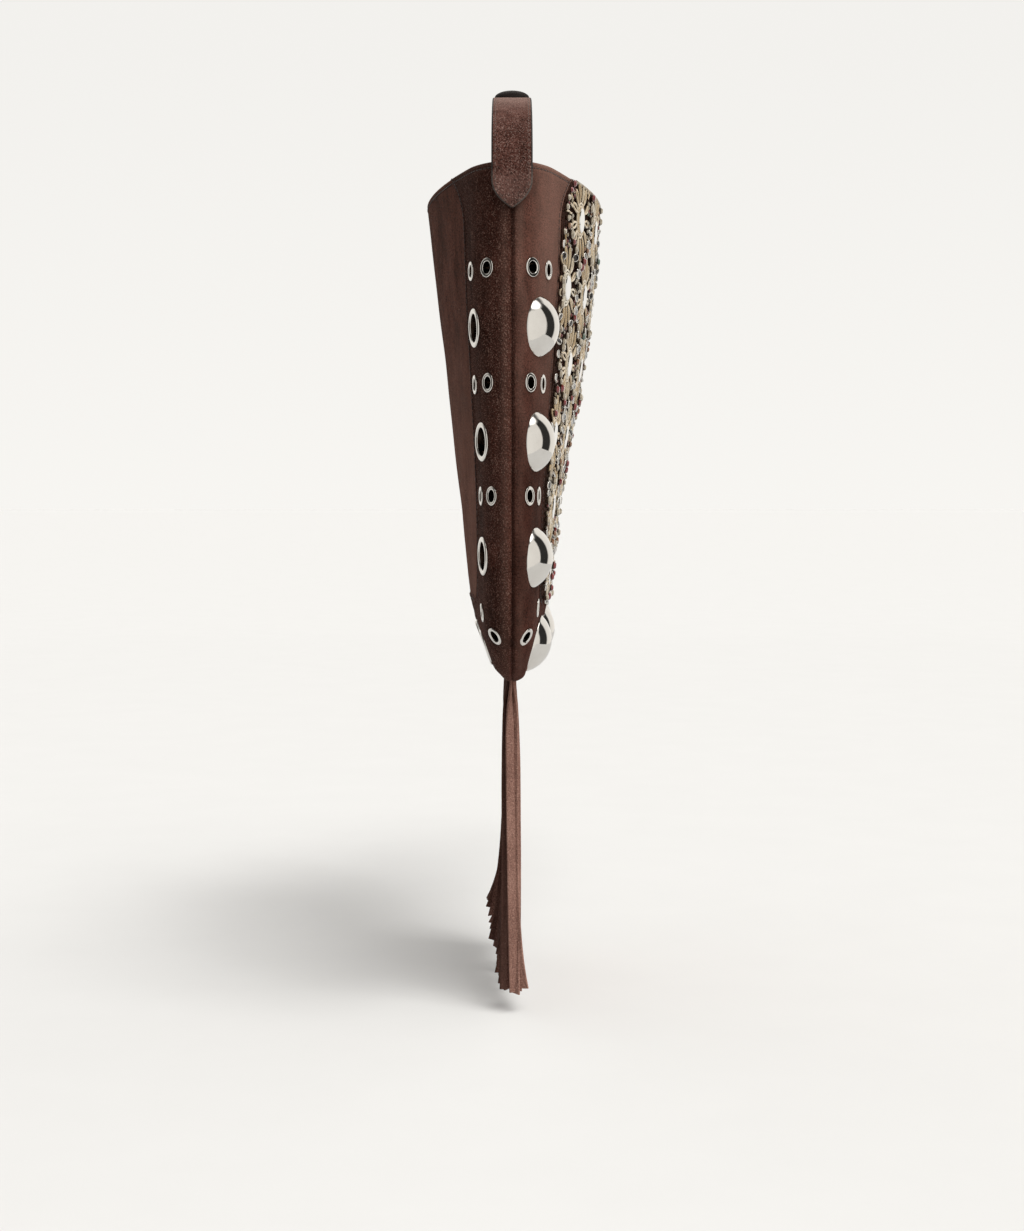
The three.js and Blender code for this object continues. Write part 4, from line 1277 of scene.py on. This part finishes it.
def build_embroidery():
    big = stone_places()
    places = boundary_places()
    places = places[nearest(places, big) > STONE_CLEAR]
    stones = np.concatenate([big, places])
    build_petals()
    seeds = filling_seeds(build_rays(stones), stones)
    sizes = (SEED, SEED, SEED * SEED_LENGTH)
    made = sewn(SEED_BEAD, seeds[:, 0], seeds[:, 1], seeds[:, 2], BED_LIFT + SEED_LIFT, sizes)
    bead_piece("seed_beads", SEED_BEAD, made, COLOURS)
    build_stones(places, big)
    build_rim_beads()


# Strap and grip

StrapPath = namedtuple("StrapPath", "x z out_x out_z to_tip")


def strap_path():
    """Middle line of the strap: tab, arch over the mouth, tab."""
    across = HALF_WIDTH + GAP + STRAP_THICKNESS / 2
    rise = -RIM_Z + STRAP_THICKNESS / 2
    up = np.concatenate([[0, 0.25, 0.6, 1.1], np.arange(2, TAB_LENGTH - 0.5, 1.0)])
    angle = np.linspace(math.pi, 0, 181)
    c, s = np.cos(angle), np.sin(angle)
    size = np.hypot(rise * c, across * s)
    tab_z = RIM_Z - TAB_LENGTH + up
    level, ones = np.zeros(len(up)), np.ones(len(up))
    return StrapPath(
        np.concatenate([-across * ones, across * c, across * ones]),
        np.concatenate([tab_z, RIM_Z + rise * s, tab_z[::-1]]),
        np.concatenate([-ones, rise * c / size, ones]),
        np.concatenate([level, across * s / size, level]),
        np.concatenate([up, np.full(len(angle), TAB_LENGTH), up[::-1]]),
    )


def strap_half_width(to_tip):
    rest = 1 - np.minimum(to_tip / TAB_POINT, 1)
    return TAB_BLUNT + (STRAP_HALF - TAB_BLUNT) * (1 - rest ** TAB_CURVE)


def strap_section(half):
    """One ring round the strap, as places across it and lifts, with a mark where its painted edge is."""
    deep = STRAP_THICKNESS / 2
    radius = min(STRAP_ROUND, half * 0.6)
    ring_points, painted = [], []
    for sign in (1, -1):
        for y in np.linspace(-1, 1, 11)[1:-1] * (half - radius):
            ring_points.append((sign * y, sign * deep))
            painted.append(0)
        for angle in np.linspace(math.pi / 2, -math.pi / 2, 9):
            lift = (deep - radius) * np.sign(round(math.sin(angle), 6)) + radius * math.sin(angle)
            ring_points.append((sign * (half - radius + radius * math.cos(angle)), sign * lift))
            painted.append(1)
    return np.array(ring_points), np.array(painted)


def build_strap():
    path = strap_path()
    rings, marks = [], None
    for x, z, out_x, out_z, to_tip in zip(*path):
        section, marks = strap_section(float(strap_half_width(to_tip)))
        y, lift = section.T
        rings.append(np.stack([x + out_x * lift, y, z + out_z * lift], -1))
    points, faces = loft(rings)
    painted = marks & np.roll(marks, -1)
    indices = np.concatenate([np.tile(painted, len(rings) - 1), [1, 1]])
    # The tab's lightening is wear; the crown's is painted light where the strap turns up to the light.
    tab = np.clip(1 - (path.to_tip - TAB_POINT) / TAB_BLEND, 0, 1)
    wear_and_painted_light = TAB_WEAR * tab + smooth_step(path.z, *CROWN_PAINTED_LIGHT_BAND)
    tones = {"pale": np.repeat(tab * TAB_PALE, len(marks)), "wear_and_painted_light": np.repeat(wear_and_painted_light, len(marks))}
    make_piece("strap_suede_band", points, faces, [STRAP_SUEDE, EDGE_PAINT], "strap_suede", ["strap"],
               indices=indices, tones=tones)


def build_grip():
    across = HALF_WIDTH + GAP + STRAP_THICKNESS
    rise = -RIM_Z + STRAP_THICKNESS
    rings = []
    for f in np.linspace(-1, 1, GRIP_STEPS):
        x = GRIP_HALF_LENGTH * math.sin(f * math.pi / 2)
        fill = max(math.sqrt(max(1 - abs(x / GRIP_HALF_LENGTH) ** GRIP_END_SQUARE, 0)), GRIP_END_FILL)
        seat = RIM_Z + rise * math.sqrt(1 - (x / across) ** 2) + GAP / 2
        half = GRIP_WIDTH / 2 * min(1, fill + GRIP_END_WIDER)
        angle = np.linspace(0, math.pi, 25)
        y = np.concatenate([half * np.cos(angle), np.linspace(-half, half, 9)[1:-1]])
        pillow = np.sin(angle) ** 0.85
        top = seat + GRIP_EDGE + (GRIP_HEIGHT - GRIP_EDGE) * fill * pillow
        z = np.concatenate([top, np.full(len(y) - len(top), seat)])
        rings.append(np.stack([np.full(len(y), x), y, z], -1))
    points, faces = loft(rings)
    grip = make_piece("strap_grip_pad", points, faces, [GRIP_LEATHER], "dark_leather", ["strap_grip"])


# Fringe

Strip = namedtuple("Strip", "x seat tip late drift twist early curl length")


def strip_rings(strip):
    """Rings down one strip: it leaves the seam flat, turns, hangs nearly straight and parts near its tip."""
    t = np.linspace(0, 1, STRIP_STEPS + 1)
    away = smooth_step(t, 0, 0.12)
    wave = strip.curl * np.sin(t * 6 + 2 * strip.curl)
    y = strip.seat * (0.45 + 0.55 * away) + (strip.tip - strip.seat) * t ** strip.late + 0.55 * wave * away
    centre_x = strip.x + strip.drift * t ** 2 + 0.8 * strip.curl * np.sin(t * 4 + strip.curl) * away
    z = BOTTOM_Z + STRIP_TUCK - (strip.length + STRIP_TUCK) * t
    turn = strip.twist * smooth_step(t, 0.0, strip.early) + 0.16 * wave
    half, deep, bevel = STRIP_WIDTH / 2, STRIP_THICKNESS / 2, STRIP_BEVEL
    lower = [(-half, -deep + bevel), (-half + bevel, -deep), (half - bevel, -deep), (half, -deep + bevel)]
    outline = np.array(lower + [(-across, -through) for across, through in lower])
    cup = STRIP_CUP * strip.curl * (1 - (outline[:, 0] / half) ** 2)
    across, through = outline[:, 0], outline[:, 1] + cup
    c, s = np.cos(turn)[:, None], np.sin(turn)[:, None]
    ring_x = centre_x[:, None] + across * c - through * s
    ring_y = y[:, None] + across * s + through * c
    ring_z = z[:, None] + 0 * across
    ring_z[-1] += STRIP_CUT * strip.curl * across
    return np.stack([ring_x, ring_y, ring_z], -1)


def fringe_strips():
    """Two layers of strips, nearest first, each with a lie of its own."""
    pitch = 2 * FRINGE_HALF_LENGTH / STRIPS_PER_LAYER
    strips = []
    for i in range(STRIPS_PER_LAYER):
        along = i / (STRIPS_PER_LAYER - 1)
        for layer in (-1, 1):
            seat = RNG.uniform(*(BACK_SEATS if layer > 0 else FRONT_SEATS))
            if layer > 0:
                tip = BACK_TIP + BACK_TIP_SPREAD * along + RNG.normal(0, 1.2)
            else:
                tip = seat - RNG.uniform(-0.6, 1.6)
            length = STRIP_NEAR_LENGTH + (STRIP_FAR_LENGTH - STRIP_NEAR_LENGTH) * along
            length += RNG.normal(0, STRIP_UNEVEN)
            x = -FRINGE_HALF_LENGTH + pitch * (i + 0.5 + 0.25 * layer)
            strips.append(Strip(x, seat, tip, RNG.uniform(5, 9), RNG.normal(0, 1.2), RNG.uniform(-1.5, 1.5),
                                RNG.uniform(0.3, 0.9), RNG.uniform(-1, 1), length))
    for k, lie in enumerate(NEAR_LIES):
        strips[k] = strips[k]._replace(**lie)
    return strips


def build_fringe():
    parts = [loft(strip_rings(strip)) for strip in fringe_strips()]
    # Each strip's own wear, and painted light on the nearest strips
    wear_and_painted_light = RNG.uniform(0, 0.2, len(parts))
    wear_and_painted_light[:len(NEAR_LIES)] = NEAR_PAINTED_LIGHT
    # Each strip's own random tone, and painted shade on the back layer of strips
    shade = RNG.uniform(0, 0.3, len(parts))
    shade[len(NEAR_LIES) - 1::2] += BACK_LAYER_SHADE
    size = len(parts[0][0])
    make_piece("fringe_strips", *gather(parts), [FRINGE_SUEDE], "fringe_suede", ["fringe"], smooth=False,
               tones={"wear_and_painted_light": np.repeat(wear_and_painted_light, size), "shade": np.repeat(shade, size)})


# Stitches

STITCH = turned([(0.1, -0.5), (0.42, -0.42), (0.5, -0.2), (0.5, 0.2), (0.42, 0.42), (0.1, 0.5)], 6)


def stitches(points, normals, length, gap, radius):
    """Stitches along a line of points."""
    run = np.concatenate([[0], np.cumsum(np.linalg.norm(np.diff(points, axis=0), axis=1))])
    at = np.arange(gap, run[-1] - length, length + gap) + length / 2
    place = np.stack([np.interp(at, run, points[:, k]) for k in range(3)], -1)
    ahead = np.stack([np.interp(at + 0.3, run, points[:, k]) - np.interp(at - 0.3, run, points[:, k])
                      for k in range(3)], -1)
    normal = unit(np.stack([np.interp(at, run, normals[:, k]) for k in range(3)], -1))
    along = unit(ahead)
    side = unit(np.cross(normal, along))
    frames = np.stack([side, np.cross(along, side), along], 1)
    return copies(STITCH, place, frames, (2 * radius, 1.6 * radius, length))


def build_stitches():
    rows = []
    for face in (FRONT, BACK):
        seam = whole_seam(BORDER_STEP)
        x, z = walk_in(face, seam, (border_width_at(seam.z) - EDGE_STITCH)[:, None])
        lift = EDGE_PROUD * 0.9 - STITCH_GROOVE * 0.5
        rows.append(stitches(*place_on(face, x[:, 0], z[:, 0], lift), *SUEDE_STITCH))
        x = np.linspace(-HALF_WIDTH + 1, HALF_WIDTH - 1, 400)
        z = np.full(len(x), RIM_Z - RIM_STITCH)
        point, normal = place_on(face, x, z)
        point = point + normal * (soft_waves(x, z, face) - 0.25)[:, None]
        rows.append(stitches(point, normal, *SUEDE_STITCH))
    make_piece("suede_stitches", *gather(rows), [THREAD], "suede")
    path = strap_path()
    half = strap_half_width(path.to_tip) - STRAP_STITCH_IN
    keep = half > 0.6
    rows = []
    for side in (-1, 1):
        lift = STRAP_THICKNESS / 2 - 0.08
        points = np.stack([path.x + path.out_x * lift, side * half, path.z + path.out_z * lift], -1)[keep]
        normals = np.stack([path.out_x, 0 * path.x, path.out_z], -1)[keep]
        rows.append(stitches(points, normals, *STRAP_STITCH))
    make_piece("strap_stitches", *gather(rows), [PALE_THREAD], "strap_suede")


# Stage, light and camera

def stage_plane(name, low, high, height, material):
    """A level rectangle on the floor, from corners in metres."""
    mesh = bpy.data.meshes.new(name)
    (x0, y0), (x1, y1) = low, high
    corners = [(x0, y0), (x1, y0), (x1, y1), (x0, y1)]
    mesh.from_pydata([(x, y, height * MM) for x, y in corners], [], [(0, 1, 2, 3)])
    mesh.materials.append(material)
    plane = bpy.data.objects.new(name, mesh)
    bpy.context.scene.collection.objects.link(plane)
    return plane


def build_floor():
    """A wide pale floor, and the sheet of paper under the bag, which the metal alone shows the edges of."""
    s = Shader("pale_floor")
    grain = s.noise(60, 3)
    colour = s.ramp(grain, [(0.3, FLOOR_LOW), (0.7, FLOOR_HIGH)])
    s.set(base_color=colour, roughness=0.9, specular_ior_level=0.1)
    corners = (-FLOOR_REACH, -FLOOR_REACH), (FLOOR_REACH, FLOOR_REACH)
    floor = stage_plane("floor", *corners, FLOOR_Z, s.material)
    floor.visible_glossy = False
    floor.visible_diffuse = False
    sheet = stage_plane("paper_sheet", *PAPER_CORNERS, FLOOR_Z + SHEET_LIFT, s.material)
    sheet.visible_camera = False
    sheet.visible_diffuse = False
    sheet.visible_shadow = False
    return floor


def build_world():
    """A studio: pale wall behind the camera, pale sweep behind the bag, darker gaps at the sides."""
    world = bpy.data.worlds.new("studio")
    world.use_nodes = True
    w = Nodes(world.node_tree)
    w.tree.nodes.clear()

    def wall(factor, stops):
        return w.ramp(factor, [(at, tuple(level * share for share in WALL_TINT)) for at, level in stops])

    direction = w.node("ShaderNodeTexCoord").outputs["Generated"]
    level = w.node("ShaderNodeVectorMath", {0: direction, 1: (1, 1, 0)}, operation="MULTIPLY")
    level = w.node("ShaderNodeVectorMath", {0: level.outputs["Vector"]}, operation="NORMALIZE")
    flat = w.node("ShaderNodeSeparateXYZ", {0: level.outputs["Vector"]})
    upward = w.node("ShaderNodeSeparateXYZ", {0: direction}).outputs["Z"]
    away = w.spread(flat.outputs["X"], -1.0, 1.0)
    leftward = w.spread(flat.outputs["Y"], -0.05, 0.05)

    soft = w.mix(leftward, wall(away, SOFT_RIGHT), wall(away, SOFT_LEFT))
    soft = w.mix(w.spread(upward, 0.45, 0.9), soft, SOFT_CEILING)

    toward = Vector(SOFTBOX_TOWARD).normalized()
    near = w.node("ShaderNodeVectorMath", {0: direction, 1: toward}, operation="DOT_PRODUCT").outputs["Value"]
    softbox = w.spread(near, SOFTBOX_RIM, SOFTBOX_CORE, interpolation_type="SMOOTHSTEP")
    ceiling = w.mix(softbox, SHARP_CEILING, SOFTBOX_COLOUR)
    sharp = w.mix(leftward, wall(away, SHARP_RIGHT), wall(away, SHARP_LEFT))
    sharp = w.mix(w.spread(upward, 0.70, 0.80), sharp, ceiling)

    path = w.node("ShaderNodeLightPath").outputs
    studio = w.mix(path["Is Glossy Ray"], soft, sharp)
    backdrop = w.mix(w.spread(upward, 0.0, 0.2), BACKDROP_LOW, BACKDROP_HIGH)
    shown = w.node("ShaderNodeBackground", {"Color": backdrop, "Strength": 1.0}).outputs[0]
    light = w.node("ShaderNodeBackground", {"Color": studio, "Strength": 1.0}).outputs[0]
    both = w.node("ShaderNodeMixShader", {0: path["Is Camera Ray"], 1: light, 2: shown}).outputs[0]
    w.node("ShaderNodeOutputWorld", {"Surface": both})
    bpy.context.scene.world = world


def build_sun(sun, floor):
    """A soft sun, which lights everything or the floor alone."""
    data = bpy.data.lights.new(sun.name, "SUN")
    data.energy = sun.strength
    data.angle = math.radians(sun.angle)
    data.color = SUN_COLOUR
    light = bpy.data.objects.new(sun.name, data)
    light.rotation_mode = "QUATERNION"
    light.rotation_quaternion = Vector(sun.toward).to_track_quat("Z", "Y")
    light.visible_glossy = False
    if sun.floor_only:
        lit = bpy.data.collections.new("lit_by_" + sun.name)
        lit.objects.link(floor)
        light.light_linking.receiver_collection = lit
    bpy.context.scene.collection.objects.link(light)


def build_camera():
    data = bpy.data.cameras.new("camera")
    data.lens = CAMERA_LENS
    data.sensor_width = CAMERA_SENSOR
    data.clip_start, data.clip_end = CAMERA_CLIP
    camera = bpy.data.objects.new("camera", data)
    camera.location = Vector(CAMERA_PLACE) * MM
    pitch = math.radians(CAMERA_PITCH)
    camera.rotation_mode = "QUATERNION"
    camera.rotation_quaternion = Vector((math.cos(pitch), 0, -math.sin(pitch))).to_track_quat("-Z", "Y")
    bpy.context.scene.collection.objects.link(camera)
    bpy.context.scene.camera = camera


build_camera()
build_world()
floor = build_floor()
for sun in SUNS:
    build_sun(sun, floor)
bpy.context.scene.view_settings.view_transform = "Standard"
border(FRONT)
border(BACK)
panel(FRONT, BED_LIFT, GROUND_STEP, "bead_ground", GROUND_SUEDE_PAINTED_SHADE, "embroidery", "front_panel")
panel(BACK, -PANEL_SUNK, PANEL_STEP, "back_panel_suede", BACK_SUEDE_PAINTED_SHEEN, "suede", "back_panel")
build_domes()
build_eyelets()
build_mirrors()
build_embroidery()
build_strap()
build_grip()
build_fringe()
build_stitches()
